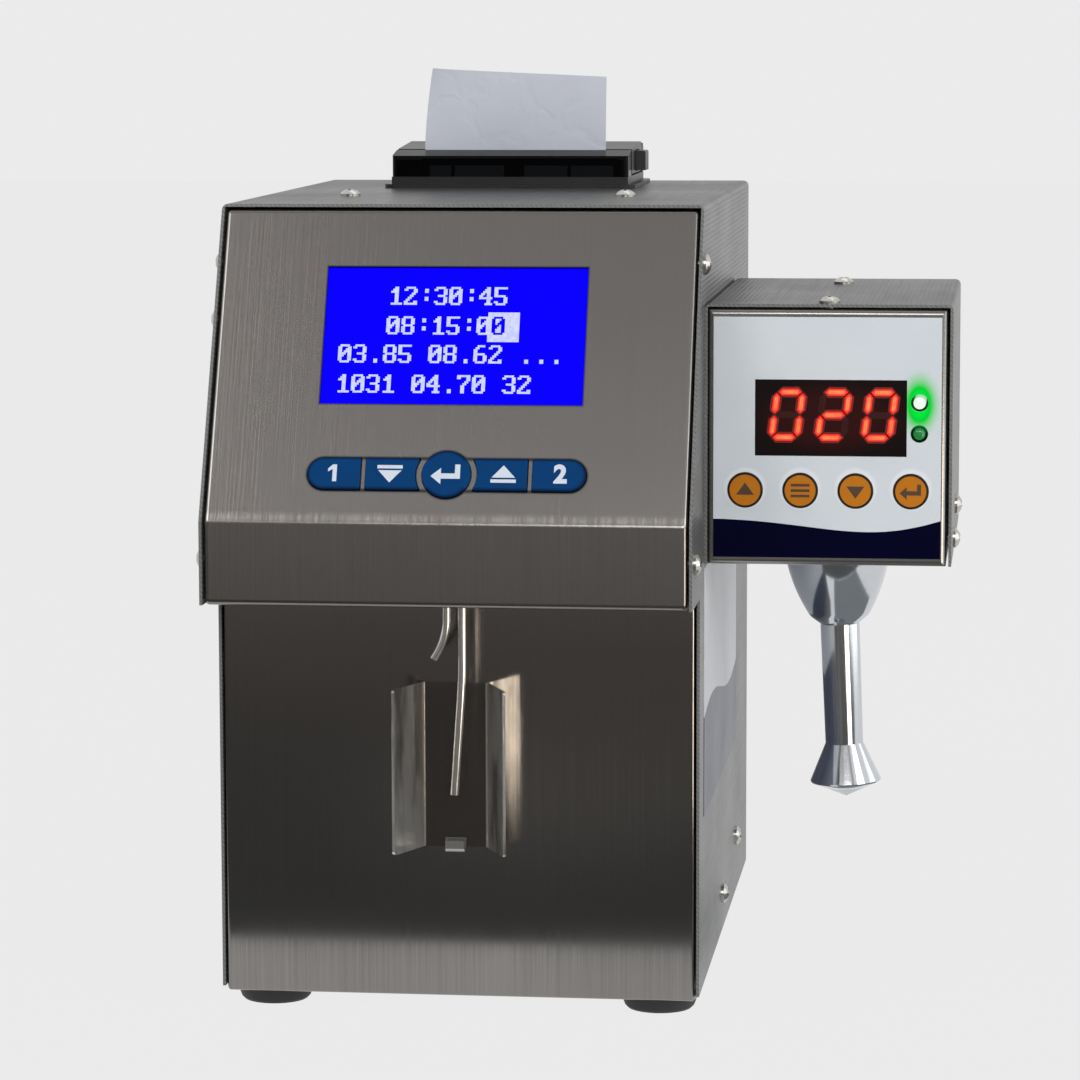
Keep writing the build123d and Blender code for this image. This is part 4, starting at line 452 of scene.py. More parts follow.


# thin bright sheet of the tube holder: streaked wings about a web darkened by painted shade, with a painted
# highlight along each fold
def holderFinish():
    look = {"middleX": -34.65, "webHalf": 8.3, "wing": (0.92, 0.9, 0.86), "dull": (0.26, 0.245, 0.225),
            "web": (0.09, 0.082, 0.076), "tabHalf": 2.9, "tabZ": 50.3, "tab": (0.42, 0.41, 0.39),
            "foldHalf": 8.75, "foldReach": 0.45, "fold": (0.85, 0.8, 0.72)}
    tree, shader, color = finish(
        "holderSteel", "tube_holder", look["wing"], (0.55, 0.53, 0.5), (0.08, 0.22), metallic=0.8,
        stretch=(1.0, 1.0, 0.1), grain=420.0, cloud=70.0, share=0.35, depth=0.12, strength=0.35)
    x, _, z = objectParts(tree)
    away = calc("ABSOLUTE", calc("SUBTRACT", x, mm(look["middleX"])))
    onWing = spread(away, mm(look["webHalf"]), mm(look["webHalf"] + 0.9), smooth=True)
    streaks = noise(vectorCalc("MULTIPLY", objectPlace(tree), (1.0, 0.25, 0.1)), 310.0, 3.0)
    wingTone = mixColor(spread(streaks, 0.42, 0.62, smooth=True), color, look["dull"])
    # painted shade: the web between the wings is near black
    sheetTone = mixColor(onWing, look["web"], wingTone)
    # painted highlight along each fold
    fromFold = calc("ABSOLUTE", calc("SUBTRACT", away, mm(look["foldHalf"])))
    onFoldHighlight = spread(fromFold, 0.0, mm(look["foldReach"]), 0.8, 0.0)
    sheetTone = mixColor(onFoldHighlight, sheetTone, look["fold"])
    onTab = calc("MULTIPLY", calc("LESS_THAN", away, mm(look["tabHalf"])),
                 calc("LESS_THAN", z, mm(look["tabZ"])))
    colorFrom(shader, mixColor(onTab, sheetTone, look["tab"]))


# embossed grey sheet of the two covers, with painted light and shade on its ridges and painted shade where
# it looks up
def coverFinish():
    look = {"pitch": 1.35, "waver": 0.4, "finePitch": 0.62, "fineWaver": 0.2, "fineShare": 0.6,
            "darkest": 0.56, "lightest": 1.3, "topShadeShare": 0.36}
    tree, shader, color = finish(
        "coverGrey", "cover stirrer_cover", (0.214, 0.217, 0.212), (0.16, 0.162, 0.159), (0.3, 0.42),
        metallic=0.3, stretch=(1.0, 0.03, 1.0), grain=700.0, cloud=22.0, share=0.45, specular=0.22)
    coarse = placeGroup(tree, ridgeGroup, Pitch=mm(look["pitch"]), Waver=mm(look["waver"]))["Ridge"]
    fine = placeGroup(tree, ridgeGroup, Direction=(0.94, 0.34, 0.94), Pitch=mm(look["finePitch"]),
                      Waver=mm(look["fineWaver"]))["Ridge"]
    ridges = calc("ADD", coarse, calc("MULTIPLY", fine, look["fineShare"]))
    normal = addNode(tree, "SeparateXYZ", Vector=addNode(tree, "TexCoord").outputs["Normal"])
    # painted shade on faces that look up
    level = spread(normal.outputs["Z"], 0.5, 0.9, 1.0, look["topShadeShare"])
    # painted light and shade: lighter where the ridges stand high, darker in the troughs
    tone = spread(ridges, 0.0, 1 + look["fineShare"], look["darkest"], look["lightest"])
    shade = calc("MULTIPLY", tone, level)
    colorFrom(shader, vectorCalc("MULTIPLY", color, shade))
    bumpFrom(shader, ridges, 0.1, 0.35)


# green boards with a faint maze of tracks
def boardFinish():
    look = {"trackScale": 260.0, "trackWidth": 0.06, "track": (0.03, 0.24, 0.09)}
    tree, shader, color = finish(
        "boardGreen", "lcd_board keypad_board main_board stirrer_board", (0.012, 0.12, 0.045),
        (0.008, 0.085, 0.03), (0.25, 0.4), grain=1400.0)
    tracks = addNode(tree, "TexBrick", Vector=objectPlace(tree), Scale=look["trackScale"],
                     **{"Mortar Size": look["trackWidth"]})
    colorFrom(shader, mixColor(tracks.outputs["Fac"], color, look["track"]))


# glossy black bar with slightly lighter window segments in its band
def barFinish():
    look = {"windows": ((-56.2, 3.3), (-44.3, 7.5), (-24.05, 6.55), (-10.0, 6.4)), "lowZ": 227.5,
            "highZ": 231.8, "color": (0.0055, 0.0065, 0.0075)}
    tree, shader, color = finish(
        "printerBlack", "printer_front_bar", (0.0004, 0.0004, 0.0006), (0.001, 0.001, 0.0012), (0.16, 0.28),
        grain=1800.0, cloud=60.0, depth=0.02, specks=0.05, speckColor=(0.012, 0.012, 0.012), specular=0.045)
    x, _, z = objectParts(tree)
    inBand = calc("MULTIPLY", calc("GREATER_THAN", z, mm(look["lowZ"])),
                  calc("LESS_THAN", z, mm(look["highZ"])))
    across = None
    for middle, half in look["windows"]:
        inside = calc("LESS_THAN", calc("ABSOLUTE", calc("SUBTRACT", x, mm(middle))), mm(half))
        across = calc("MAXIMUM", across, inside) if across else inside
    colorFrom(shader, mixColor(calc("MULTIPLY", inBand, across), color, look["color"]))


# blue lit display under its window
def displayFinish():
    look = {"rowPitch": 0.52, "rowDepth": 0.08, "between": (0.0, 0.0, 0.6), "lit": (0.003, 0.0, 1.0),
            "strength": 0.93}
    tree, shader, _ = finish(
        "displayBlue", "lcd_window", (0.0, 0.0, 0.16), (0.0, 0.0, 0.12), (0.12, 0.18), grain=1800.0,
        cloud=40.0, depth=0.01, strength=0.1, specular=0.02)
    rows = placeGroup(tree, ridgeGroup, Direction=(0.0, 0.42, 0.907), Pitch=mm(look["rowPitch"]),
                      Waver=0.0)
    level = calc("MULTIPLY_ADD", rows["Ridge"], look["rowDepth"], 1 - look["rowDepth"])
    glowFrom(shader, mixColor(level, look["between"], look["lit"]), look["strength"])


# characters and digits that give light of their own
def litFinish(name, color, edgeColor, cloud, strength):
    tree, shader, _ = finish(name, "", [c * 0.3 for c in color], [c * 0.2 for c in color], (0.3, 0.4),
                             grain=1500.0, cloud=cloud)
    uneven = spread(noise(objectPlace(tree), cloud, 2.0), 0.35, 0.65)
    glowFrom(shader, mixColor(uneven, color, edgeColor), strength)


# smoked window, near black, with a painted red glow round the digits
def windowFinish():
    look = {"digitGlow": (0.02, 0.001, 0.0005), "reach": (5.0, 11.5)}
    tree, shader, _ = finish(
        "windowSmoked", "display_window", (0.004, 0.001, 0.001), (0.006, 0.002, 0.002), (0.08, 0.14),
        grain=1200.0, cloud=60.0, depth=0.005, strength=0.1, specular=0.15)
    middle = (stirrer["windowX"], stirrer["overlayY"], stirrer["windowZ"])
    digitGlow = spotAt(tree, middle, *look["reach"], squash=(0.5, 0, 1.0))
    glowFrom(shader, mixColor(digitGlow, (0, 0, 0), look["digitGlow"]), 1.0)


# printed film on the stirrer's front: pale field, navy wave, painted highlight on the embossed rims round
# the keys, painted green glow round the lamp
def overlayFinish():
    look = {
        "pale": (0.66, 0.7, 0.735), "paleShade": (0.61, 0.65, 0.69), "navy": (0.001, 0.001, 0.016),
        "leftX": 35.45, "width": 62.6, "waveTopZ": 138.4, "waveDrop": 3.25, "waveSkew": 1.8,
        "rim": (0.84, 0.87, 0.9), "rimInner": 5.0, "rimOuter": 6.3, "rimHighlightShare": 0.6,
        "rimHighlightLift": 0.5, "glow": (0.0, 0.8, 0.045), "glowReach": (1.6, 8.8), "glowSquash": (1.3, 0, 0.82),
        "glowDrop": 0.4, "glowFall": 1.1, "glowStrength": 0.9, "drowned": (0.0, 0.1, 0.006),
        "drowning": 1.35,
    }
    tree, shader, color = finish(
        "overlayPrint", "stirrer_overlay", look["pale"], look["paleShade"], (0.3, 0.4), grain=1700.0,
        cloud=45.0, share=0.35, depth=0.02, specular=0.03)
    x, _, z = objectParts(tree)
    share = spread(x, mm(look["leftX"]), mm(look["leftX"] + look["width"]))
    dip = calc("SINE", calc("MULTIPLY", calc("POWER", share, look["waveSkew"]), math.pi))
    edge = calc("MULTIPLY_ADD", dip, -mm(look["waveDrop"]), mm(look["waveTopZ"]))
    field = mixColor(calc("LESS_THAN", z, edge), color, look["navy"])
    reach = placeGroup(tree, stirrerKeyGroup, Height=mm(stirrer["keyZ"] + look["rimHighlightLift"]))["Reach"]
    # painted highlight: a pale ring round each key, set a little above its middle
    rim = spread(reach, mm(look["rimInner"]), mm(look["rimOuter"]), 1.0, 0.0, smooth=True)
    field = mixColor(calc("MULTIPLY", rim, look["rimHighlightShare"]), field, look["rim"])
    lamp = (stirrer["lampX"], stirrer["overlayY"], stirrer["lampZ"] - look["glowDrop"])
    near = spotAt(tree, lamp, *look["glowReach"], squash=look["glowSquash"])
    strong = calc("POWER", near, look["glowFall"])
    # painted light: the lamp's green glow drowns the printed white
    drowned = calc("MULTIPLY", strong, look["drowning"], clamp=True)
    colorFrom(shader, mixColor(drowned, field, look["drowned"]))
    glowFrom(shader, mixColor(strong, (0, 0, 0), look["glow"]), look["glowStrength"])


# orange key faces with a dark printed rim
def orangeFinish():
    look = {"face": (0.53, 0.175, 0.002), "faceShade": (0.47, 0.15, 0.002), "rim": (0.018, 0.01, 0.006),
            "rimInner": 4.25}
    tree, shader, color = finish(
        "keyOrange", "stirrer_key_1 stirrer_key_2 stirrer_key_3 stirrer_key_4", look["face"],
        look["faceShade"], (0.3, 0.42), grain=1900.0, cloud=140.0, depth=0.02, specular=0.2)
    outside = calc("GREATER_THAN", placeGroup(tree, stirrerKeyGroup)["Reach"], mm(look["rimInner"]))
    colorFrom(shader, mixColor(outside, color, look["rim"]))


# indicator lights: the upper one lit white with a green edge, the lower one dim
def lampFinish():
    look = {"core": (1.4, 2.5), "halo": (2.8, 4.2), "dim": (0.0, 0.12, 0.02), "green": (0.0, 0.85, 0.06),
            "white": (0.85, 1.0, 0.88)}
    tree, shader, _ = finish(
        "lampGreen", "indicator_lights", (0.004, 0.1, 0.02), (0.003, 0.07, 0.014), (0.12, 0.22),
        grain=1200.0, cloud=300.0, depth=0.01, coat=0.5)
    x, y, z = stirrer["lampX"], stirrer["overlayY"], stirrer["lampZ"]
    core = spotAt(tree, (x + 0.1, y, z - 0.1), *look["core"])
    halo = spotAt(tree, (x, y, z), *look["halo"])
    glowFrom(shader, mixColor(core, mixColor(halo, look["dim"], look["green"]), look["white"]), 1.0)


# side label: white above, blue grey below a wave
def labelFinish():
    look = {"white": (0.7, 0.72, 0.76), "whiteShade": (0.64, 0.66, 0.71), "lower": (0.06, 0.07, 0.115),
            "edgeZ": 81.4, "waveRise": 3.6, "waveLength": 138.0, "crestY": -42.0}
    tree, shader, color = finish(
        "labelPrint", "side_label", look["white"], look["whiteShade"], (0.3, 0.42), grain=1500.0,
        cloud=40.0, depth=0.02)
    _, y, z = objectParts(tree)
    fromCrest = calc("SUBTRACT", y, mm(look["crestY"]))
    wave = calc("COSINE", calc("MULTIPLY", fromCrest, math.tau / mm(look["waveLength"])))
    edge = calc("MULTIPLY_ADD", wave, mm(look["waveRise"]), mm(look["edgeZ"]))
    colorFrom(shader, mixColor(calc("LESS_THAN", z, edge), color, look["lower"]))


# thermal paper with soft creases
def paperFinish():
    look = {"warpScale": 70.0, "warp": 0.02, "foldScale": 55.0, "foldWidth": 0.12, "foldDepth": 0.25,
            "foldStrength": 0.35}
    tree, shader, _ = finish(
        "stripPaper", "paper_strip", (0.6, 0.625, 0.7), (0.545, 0.57, 0.65), (0.55, 0.7), grain=2400.0,
        cloud=35.0, share=0.25, depth=0.03)
    place = objectPlace(tree)
    warp = addNode(tree, "TexNoise", Vector=place, Scale=look["warpScale"], Detail=3.0)
    moved = vectorCalc("MULTIPLY_ADD", warp.outputs["Color"], [look["warp"]] * 3, place)
    folds = addNode(tree, "TexVoronoi", feature="DISTANCE_TO_EDGE", Vector=moved, Scale=look["foldScale"])
    creases = spread(folds.outputs["Distance"], 0.0, look["foldWidth"], smooth=True)
    bumpFrom(shader, creases, look["foldDepth"], look["foldStrength"])


headFinish()
keyFinish()
holderFinish()
coverFinish()
boardFinish()
barFinish()
displayFinish()
litFinish("lcdCharacter", (0.56, 0.6, 0.98), (0.44, 0.47, 0.96), 900.0, 0.92)
litFinish("segmentLit", (1.0, 0.018, 0.004), (0.85, 0.008, 0.002), 420.0, 1.0)
litFinish("segmentCore", (1.0, 0.22, 0.065), (1.0, 0.11, 0.03), 420.0, 1.0)
litFinish("segmentHalo", (0.15, 0.003, 0.001), (0.11, 0.002, 0.001), 300.0, 1.0)
windowFinish()
overlayFinish()
orangeFinish()
lampFinish()
labelFinish()
paperFinish()
print(len(trees), "groups and finishes done")

# rows of characters on the display, drawn as square dots
lcdText = {
    "lines": ("12:30:45", "08:15:0", "03.85 08.62 ...", "1031 04.70 32"),
    "starts": (3.17, 3.1, 0.0, 0.0),
    "rowHeights": (11.85, 3.2, -5.1, -13.8),
    "cell": 4.15, "left": -32.2,
    "dotPitch": 0.52, "rowPitch": 0.585,
    "depth": 0.05, "face": -1.0,
    "cursor": (8.9, 17.6, -1.5, 7.1),
}
dotColumns, dotRows = 7, 9
dotShapes = {
    "0": ".11111./11...11/11..111/11.1111/1111.11/111..11/11...11/11...11/.11111.",
    "1": "...11../..111../.1111../...11../...11../...11../...11../...11../.111111",
    "2": ".11111./11...11/.....11/....11./...11../..11.../.11..../11...11/1111111",
    "3": ".11111./11...11/.....11/.....11/..1111./.....11/.....11/11...11/.11111.",
    "4": "....11./...111./..1111./.11.11./11..11./1111111/....11./....11./...1111",
    "5": "1111111/11...../11...../11...../111111./.....11/.....11/11...11/.11111.",
    "6": "..1111./.11..../11...../11...../111111./11...11/11...11/11...11/.11111.",
    "7": "1111111/11...11/.....11/....11./...11../..11.../..11.../..11.../..11...",
    "8": ".11111./11...11/11...11/11...11/.11111./11...11/11...11/11...11/.11111.",
    ":": "......./...11../...11../......./......./...11../...11../......./.......",
    ".": "......./......./......./......./......./......./......./...11../...11..",
}


def dotTile(letter):
    # one character, cut from a grid of square dots
    clearSelection()
    bpy.ops.mesh.primitive_grid_add(x_subdivisions=dotColumns, y_subdivisions=dotRows, size=2)
    tile = takeNew(f"dot_{ord(letter)}")
    for vertex in tile.data.vertices:
        vertex.co.x *= mm(lcdText["dotPitch"] * dotColumns / 2)
        vertex.co.y *= mm(lcdText["rowPitch"] * dotRows / 2)
    shape = dotShapes[letter].split("/")
    openMesh(tile, "FACE", "DESELECT")
    closeMesh()
    for face in tile.data.polygons:
        column = int(face.center.x / mm(lcdText["dotPitch"]) + dotColumns / 2)
        row = int(dotRows / 2 - face.center.y / mm(lcdText["rowPitch"]))
        face.select = shape[row][column] != "1"
    bpy.ops.object.mode_set(mode="EDIT")
    bpy.ops.mesh.delete(type="FACE")
    closeMesh()
    return thicken(tile, lcdText["depth"])


def lcdCharacters():
    face = tiltedFace @ moveBy(0, display["middle"], lcdText["face"])
    letters = {letter: dotTile(letter) for letter in dotShapes}

    def character(letter, x, y, rise=0.0):
        copy = letters[letter].copy()
        copy.data = letters[letter].data.copy()
        bpy.context.collection.objects.link(copy)
        return settle(copy, face @ moveBy(x, y, rise))

    tiles = []
    for line, start, height in zip(lcdText["lines"], lcdText["starts"], lcdText["rowHeights"]):
        for index, letter in enumerate(line):
            if letter != " ":
                x = lcdText["left"] + (start + index + 0.5) * lcdText["cell"]
                tiles.append(character(letter, x, height))
    finishPiece(joinAll(tiles, "lcd_characters"), "case", "lcdCharacter")
    block = flatShape("lcd_cursor", rectangle(*lcdText["cursor"]), lcdText["depth"], face)
    finishPiece(block, "case", "lcdCharacter")
    # a dark digit in front of the cursor, at the end of the second line
    lastX = lcdText["left"] + (lcdText["starts"][1] + len(lcdText["lines"][1]) + 0.5) * lcdText["cell"]
    digit = character("0", lastX, lcdText["rowHeights"][1], rise=lcdText["depth"])
    digit.name = "lcd_cursor_digit"
    finishPiece(digit, "case", "displayBlue")
    for tile in letters.values():
        bpy.data.objects.remove(tile)


lcdCharacters()
print("display characters done")

# pale marks on the front keys
keySymbols = {
    "face": 0.9, "depth": 0.04,
    "digitXs": (-30.5, 31.0), "digitSize": 7.0, "digitWeight": 0.32,
    "arrowXs": (-15.35, 15.6), "arrowHalf": 3.2, "arrowRise": 3.5, "arrowBase": 0.9,
    "barHalf": 3.45, "barHeight": 0.95, "barGap": 0.5,
    "one": [(-1.75, 1.25), (-0.45, 2.4), (0.65, 2.4), (0.65, -2.4), (-0.5, -2.4), (-0.5, 1.1),
            (-1.75, 0.35)],
    "hook": [(-4.2, -0.6), (-1.4, 1.7), (-1.4, 0.15), (2.4, 0.15), (2.4, 2.7), (3.8, 2.7), (3.8, -1.35),
             (-1.4, -1.35), (-1.4, -2.9)],
}


def keyFaceAt(x):
    return tiltedFace @ moveBy(x, keyRow["Row Height"], keySymbols["face"])


def arrowWithBar(key, x, way):
    # way is 1 for an arrow that points up and -1 for one that points down
    half, barHalf = keySymbols["arrowHalf"], keySymbols["barHalf"]
    base = -way * keySymbols["arrowBase"]
    low = base - way * keySymbols["barGap"]
    outlines = ([(-half, base), (half, base), (0, base + way * keySymbols["arrowRise"])],
                rectangle(-barHalf, barHalf, low, low - way * keySymbols["barHeight"]))
    tiles = [flatShape("tile", outline, keySymbols["depth"], keyFaceAt(x)) for outline in outlines]
    finishPiece(joinAll(tiles, key + "_mark"), key, "symbolWhite")


def digitTwo(x):
    clearSelection()
    bpy.ops.object.text_add()
    text = bpy.context.object.data
    text.body = "2"
    text.size = mm(keySymbols["digitSize"])
    text.align_x = text.align_y = "CENTER"
    text.offset = mm(keySymbols["digitWeight"])
    text.resolution_u = 4
    text.extrude = mm(keySymbols["depth"] / 2)
    bpy.ops.object.convert(target="MESH")
    return settle(takeNew("key_two_mark"), keyFaceAt(x) @ moveBy(0, 0, keySymbols["depth"] / 2))


def frontKeySymbols():
    (oneX, twoX), (downX, upX) = keySymbols["digitXs"], keySymbols["arrowXs"]
    mark = flatShape("key_one_mark", keySymbols["one"], keySymbols["depth"], keyFaceAt(oneX))
    finishPiece(mark, "key_one", "symbolWhite")
    finishPiece(digitTwo(twoX), "key_two", "symbolWhite")
    arrowWithBar("key_down", downX, -1)
    arrowWithBar("key_up", upX, 1)
    mark = flatShape("key_enter_mark", keySymbols["hook"], keySymbols["depth"], keyFaceAt(0))
    finishPiece(mark, "key_enter", "symbolWhite")


frontKeySymbols()
print("front key symbols done")

# seven segment digits behind the smoked window
segments = {
    "digitXs": (-12.0, 0.75, 13.45),
    "middleRise": 0.85,
    "shown": ("abcdef", "abdeg", "abcdef"),
    "halfWidth": 3.5, "halfHeight": 6.25,
    "bar": 0.92, "haloBar": 1.5, "coreShare": 0.55,
    "gap": 0.35, "coreGap": 1.05, "haloGap": -0.25,
    "slant": 0.13, "depth": 0.03,
}


def segmentShapes(bar, gap):
    w, h = segments["halfWidth"], segments["halfHeight"]

    def lying(y, left=-w, right=w):
        left, right = left + gap, right - gap
        return [(left, y), (left + bar, y + bar), (right - bar, y + bar), (right, y), (right - bar, y - bar),
                (left + bar, y - bar)]

    def standing(x, low, high):
        return [(across, up) for up, across in lying(x, low, high)]

    return {"a": lying(h), "g": lying(0), "d": lying(-h), "b": standing(w, 0, h), "c": standing(w, -h, 0),
            "f": standing(-w, 0, h), "e": standing(-w, -h, 0)}


def digitDisplay():
    tiles = {"Lit": [], "Core": [], "Halo": [], "Dark": []}
    slanted = Matrix.Identity(4)
    slanted[0][1] = segments["slant"]
    outer = segmentShapes(segments["bar"], segments["gap"])
    inner = segmentShapes(segments["bar"] * segments["coreShare"], segments["coreGap"])
    wide = segmentShapes(segments["haloBar"], segments["haloGap"])
    for x, shown in zip(segments["digitXs"], segments["shown"]):
        face = leaning(stirrer["windowX"] + x, stirrer["overlayY"],
                       stirrer["windowZ"] + segments["middleRise"]) @ slanted
        for letter in outer:
            if letter in shown:
                layers = (("Lit", outer, 1), ("Core", inner, 2), ("Halo", wide, 0.5))
            else:
                layers = (("Dark", outer, 1),)
            for kind, shapes, share in layers:
                tiles[kind].append(flatShape("segment", shapes[letter], segments["depth"] * share, face))
    for kind, pieces in tiles.items():
        finishPiece(joinAll(pieces, "digits_" + kind.lower()), "case", "segment" + kind)


digitDisplay()
print("digits done")

# dark marks on the stirrer keys
stirrerMarks = {
    "depth": 0.03,
    "up": [(-2.5, -1.3), (2.5, -1.3), (0, 2.1)],
    "down": [(-2.5, 1.3), (0, -2.1), (2.5, 1.3)],
    "enter": [(-3.1, -0.45), (-1.1, 1.3), (-1.1, 0.15), (1.7, 0.15), (1.7, 2.0), (2.8, 2.0), (2.8, -1.05),
              (-1.1, -1.05), (-1.1, -2.2)],
    "barHalf": 2.6, "barHeight": 0.75, "barStep": 1.5,
}


def stirrerKeySymbols():
    half, high, step = stirrerMarks["barHalf"], stirrerMarks["barHeight"] / 2, stirrerMarks["barStep"]
    bars = [rectangle(-half, half, y - high, y + high) for y in (-step, 0, step)]
    for index, kind in enumerate(("up", "bars", "down", "enter")):
        x = stirrer["firstKeyX"] + index * stirrer["keyPitch"]
        face = leaning(x, stirrer["keyFaceY"], stirrer["keyZ"])
        name = f"stirrer_mark_{index + 1}"
        if kind == "bars":
            piece = joinAll([flatShape("bar", bar, stirrerMarks["depth"], face) for bar in bars], name)
        else:
            piece = flatShape(name, stirrerMarks[kind], stirrerMarks["depth"], face)
        finishPiece(piece, f"stirrer_key_{index + 1}", "symbolDark")


stirrerKeySymbols()
print("stirrer key symbols done")

# polished horn, spun from its half outline of radius and height
horn = {
    "seat": (67.0, -11.75, 125.7),
    "lean": 2.44,
    "steps": 96, "smoothAngle": 24, "weld": 0.005,
    "arc": ((8.6, -22.0), (15.6, 0.0)),
    "arcMiddle": (-33.82233, 3.61165),
    "arcRows": 18,
    "above": ((15.6, 3.6), (19.5, 3.6), (19.5, 7.6), (15.5, 7.6), (15.5, 19.6), (4, 19.6), (4, 3.6),
              (0, 3.6)),
    "below": ((0, -75.4), (9.6, -71.2), (10.1, -70.95), (10.3, -70.5), (9.7, -69.1), (5.5, -59.6),
              (5.7, -24.4)),
}


def arcPoints():
    # from the arc's first point, which is left out, to its last one
    (ax, ay), (bx, by), (x, y) = *horn["arc"], horn["arcMiddle"]
    radius, start, stop = math.hypot(ax - x, ay - y), math.atan2(ay - y, ax - x), math.atan2(by - y, bx - x)
    angles = [start + (stop - start) * row / horn["arcRows"] for row in range(1, horn["arcRows"] + 1)]
    return [(x + radius * math.cos(angle), y + radius * math.sin(angle)) for angle in angles]


def polishedHorn():
    outline = [*horn["below"], horn["arc"][0], *arcPoints(), *horn["above"]]
    clearSelection()
    bpy.ops.mesh.primitive_circle_add(vertices=len(outline), radius=1, fill_type="NOTHING")
    piece = takeNew("polished_horn")
    for vertex, (radius, height) in zip(piece.data.vertices, outline):
        vertex.co = mmVector(radius, 0, height)
    openMesh(piece, "EDGE", "DESELECT")
    closeMesh()
    # the edge that closes the loop along the axis goes
    ends = {0, len(outline) - 1}
    for edge in piece.data.edges:
        edge.select = set(edge.vertices) == ends
    bpy.ops.object.mode_set(mode="EDIT")
    bpy.ops.mesh.delete(type="EDGE")
    bpy.ops.mesh.select_all(action="SELECT")
    bpy.ops.mesh.spin(steps=horn["steps"], angle=math.tau, center=(0, 0, 0), axis=(0, 0, 1))
    bpy.ops.mesh.select_all(action="SELECT")
    bpy.ops.mesh.remove_doubles(threshold=mm(horn["weld"]))
    bpy.ops.mesh.normals_make_consistent(inside=False)
    closeMesh()
    lean = Matrix.Rotation(-math.radians(horn["lean"]), 4, "Y")
    settle(piece, moveBy(*horn["seat"]) @ lean)
    bpy.ops.object.shade_smooth_by_angle(angle=math.radians(horn["smoothAngle"]))
    finishPiece(piece, "case", "hornChrome")
    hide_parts("horn")


polishedHorn()
print("horn done")

# paper strip that leans back, with a curled corner and ripples
paper = {
    "leftX": -62.4, "rightX": -6.9,
    "slotY": 52.6, "slotZ": 236.4,
    "headZ": 227.0, "topZ": 260.9,
    "rollGap": 0.25, "lean": 2.2, "thickness": 0.12,
    "columns": 60, "rows": 70, "smoothAngle": 40,
    "curlReach": 12.0, "curlShift": 1.6, "curlBack": 4.2,
    "rightDrop": 2.6, "ripple": 0.35,
    # radians per width, radians per millimetre of height, start and size of each ripple
    "waves": ((9.0, 0.0, 0.6, 0.6), (23.0, 0.16, 0.0, 0.25)),
}


def paperPoint(share, height, lowZ, rollY):
    # share runs from the left edge to the right, height from the roll to the top edge
    z = lowZ + height * (paper["topZ"] - lowZ)
    fromLeft = share * (paper["rightX"] - paper["leftX"])
    risen = max(0.0, (z - paper["slotZ"]) / (paper["topZ"] - paper["slotZ"]))
    curl = max(0.0, 1 - fromLeft / paper["curlReach"]) ** 2 * risen ** 1.6
    ripple = sum(math.sin(share * across + z * up + start) * size
                 for across, up, start, size in paper["waves"])
    # straight up in front of the roll, then back with the slot
    y = rollY if z < paper["headZ"] else paper["slotY"] + paper["lean"] * risen ** 1.5
    return mmVector(
        paper["leftX"] + fromLeft + paper["curlShift"] * curl,
        y + paper["curlBack"] * curl + paper["ripple"] * ripple * risen,
        z - paper["rightDrop"] * share * risen ** 2)


def paperStrip():
    low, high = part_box("paper_strip")
    rollY = high.y * 1000 - paper["rollGap"]
    clearSelection()
    bpy.ops.mesh.primitive_grid_add(x_subdivisions=paper["columns"], y_subdivisions=paper["rows"], size=2)
    piece = takeNew("printed_strip")
    for vertex in piece.data.vertices:
        vertex.co = paperPoint((vertex.co.x + 1) / 2, (vertex.co.y + 1) / 2, low.z * 1000, rollY)
    solid = piece.modifiers.new("thickness", "SOLIDIFY")
    solid.thickness = mm(paper["thickness"])
    solid.offset = 0
    selectOnly(piece)
    bpy.ops.object.modifier_apply(modifier=solid.name)
    openMesh(piece, "FACE", "SELECT")
    bpy.ops.mesh.normals_make_consistent(inside=False)
    closeMesh()
    bpy.ops.object.shade_smooth_by_angle(angle=math.radians(paper["smoothAngle"]))
    finishPiece(piece, "case", "stripPaper")
    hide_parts("paper_strip")


paperStrip()
print("paper strip done")

# pale studio: background and floor look evenly lit, cards shape what the steel reflects
studio = {"background": (0.831, 0.831, 0.831), "worldLight": 0.38, "floorSize": 12.0, "floorShade": 0.02}


def seenDirectly(tree):
    # 1 for what the camera, a mirror or a window sees
    path = addNode(tree, "LightPath").outputs
    return calc("MAXIMUM", calc("MAXIMUM", path["Is Camera Ray"], path["Is Glossy Ray"]),
                path["Is Transmission Ray"])


def mixInto(output, factor, first, second):
    pick = addNode(output.id_data, "MixShader")
    feedAll(pick.inputs, (factor, first, second))
    feed(output.inputs["Surface"], pick.outputs[0])


def buildWorld():
    world = bpy.data.worlds.new("studioWorld")
    bpy.context.scene.world = world
    world.use_nodes = True
    tree = world.node_tree
    trees.append(tree)
    plain = tree.nodes["Background"]
    feed(plain.inputs["Color"], (1, 1, 1))
    feed(plain.inputs["Strength"], studio["worldLight"])
    seen = addNode(tree, "Background", Color=studio["background"], Strength=1.0)
    mixInto(tree.nodes["World Output"], seenDirectly(tree), plain.outputs[0], seen.outputs[0])


def buildFloor():
    clearSelection()
    bpy.ops.mesh.primitive_plane_add(size=studio["floorSize"])
    floor = takeNew("studio_floor")
    material, shader = newMaterial("floorPale")
    tree = material.node_tree
    colorFrom(shader, studio["background"])
    feed(shader.inputs["Roughness"], 0.9)
    glow = addNode(tree, "Emission", Color=studio["background"])
    factor = calc("MULTIPLY", seenDirectly(tree), 1 - studio["floorShade"])
    mixInto(tree.nodes["Material Output"], factor, shader.outputs[0], glow.outputs[0])
    floor.data.materials.append(material)


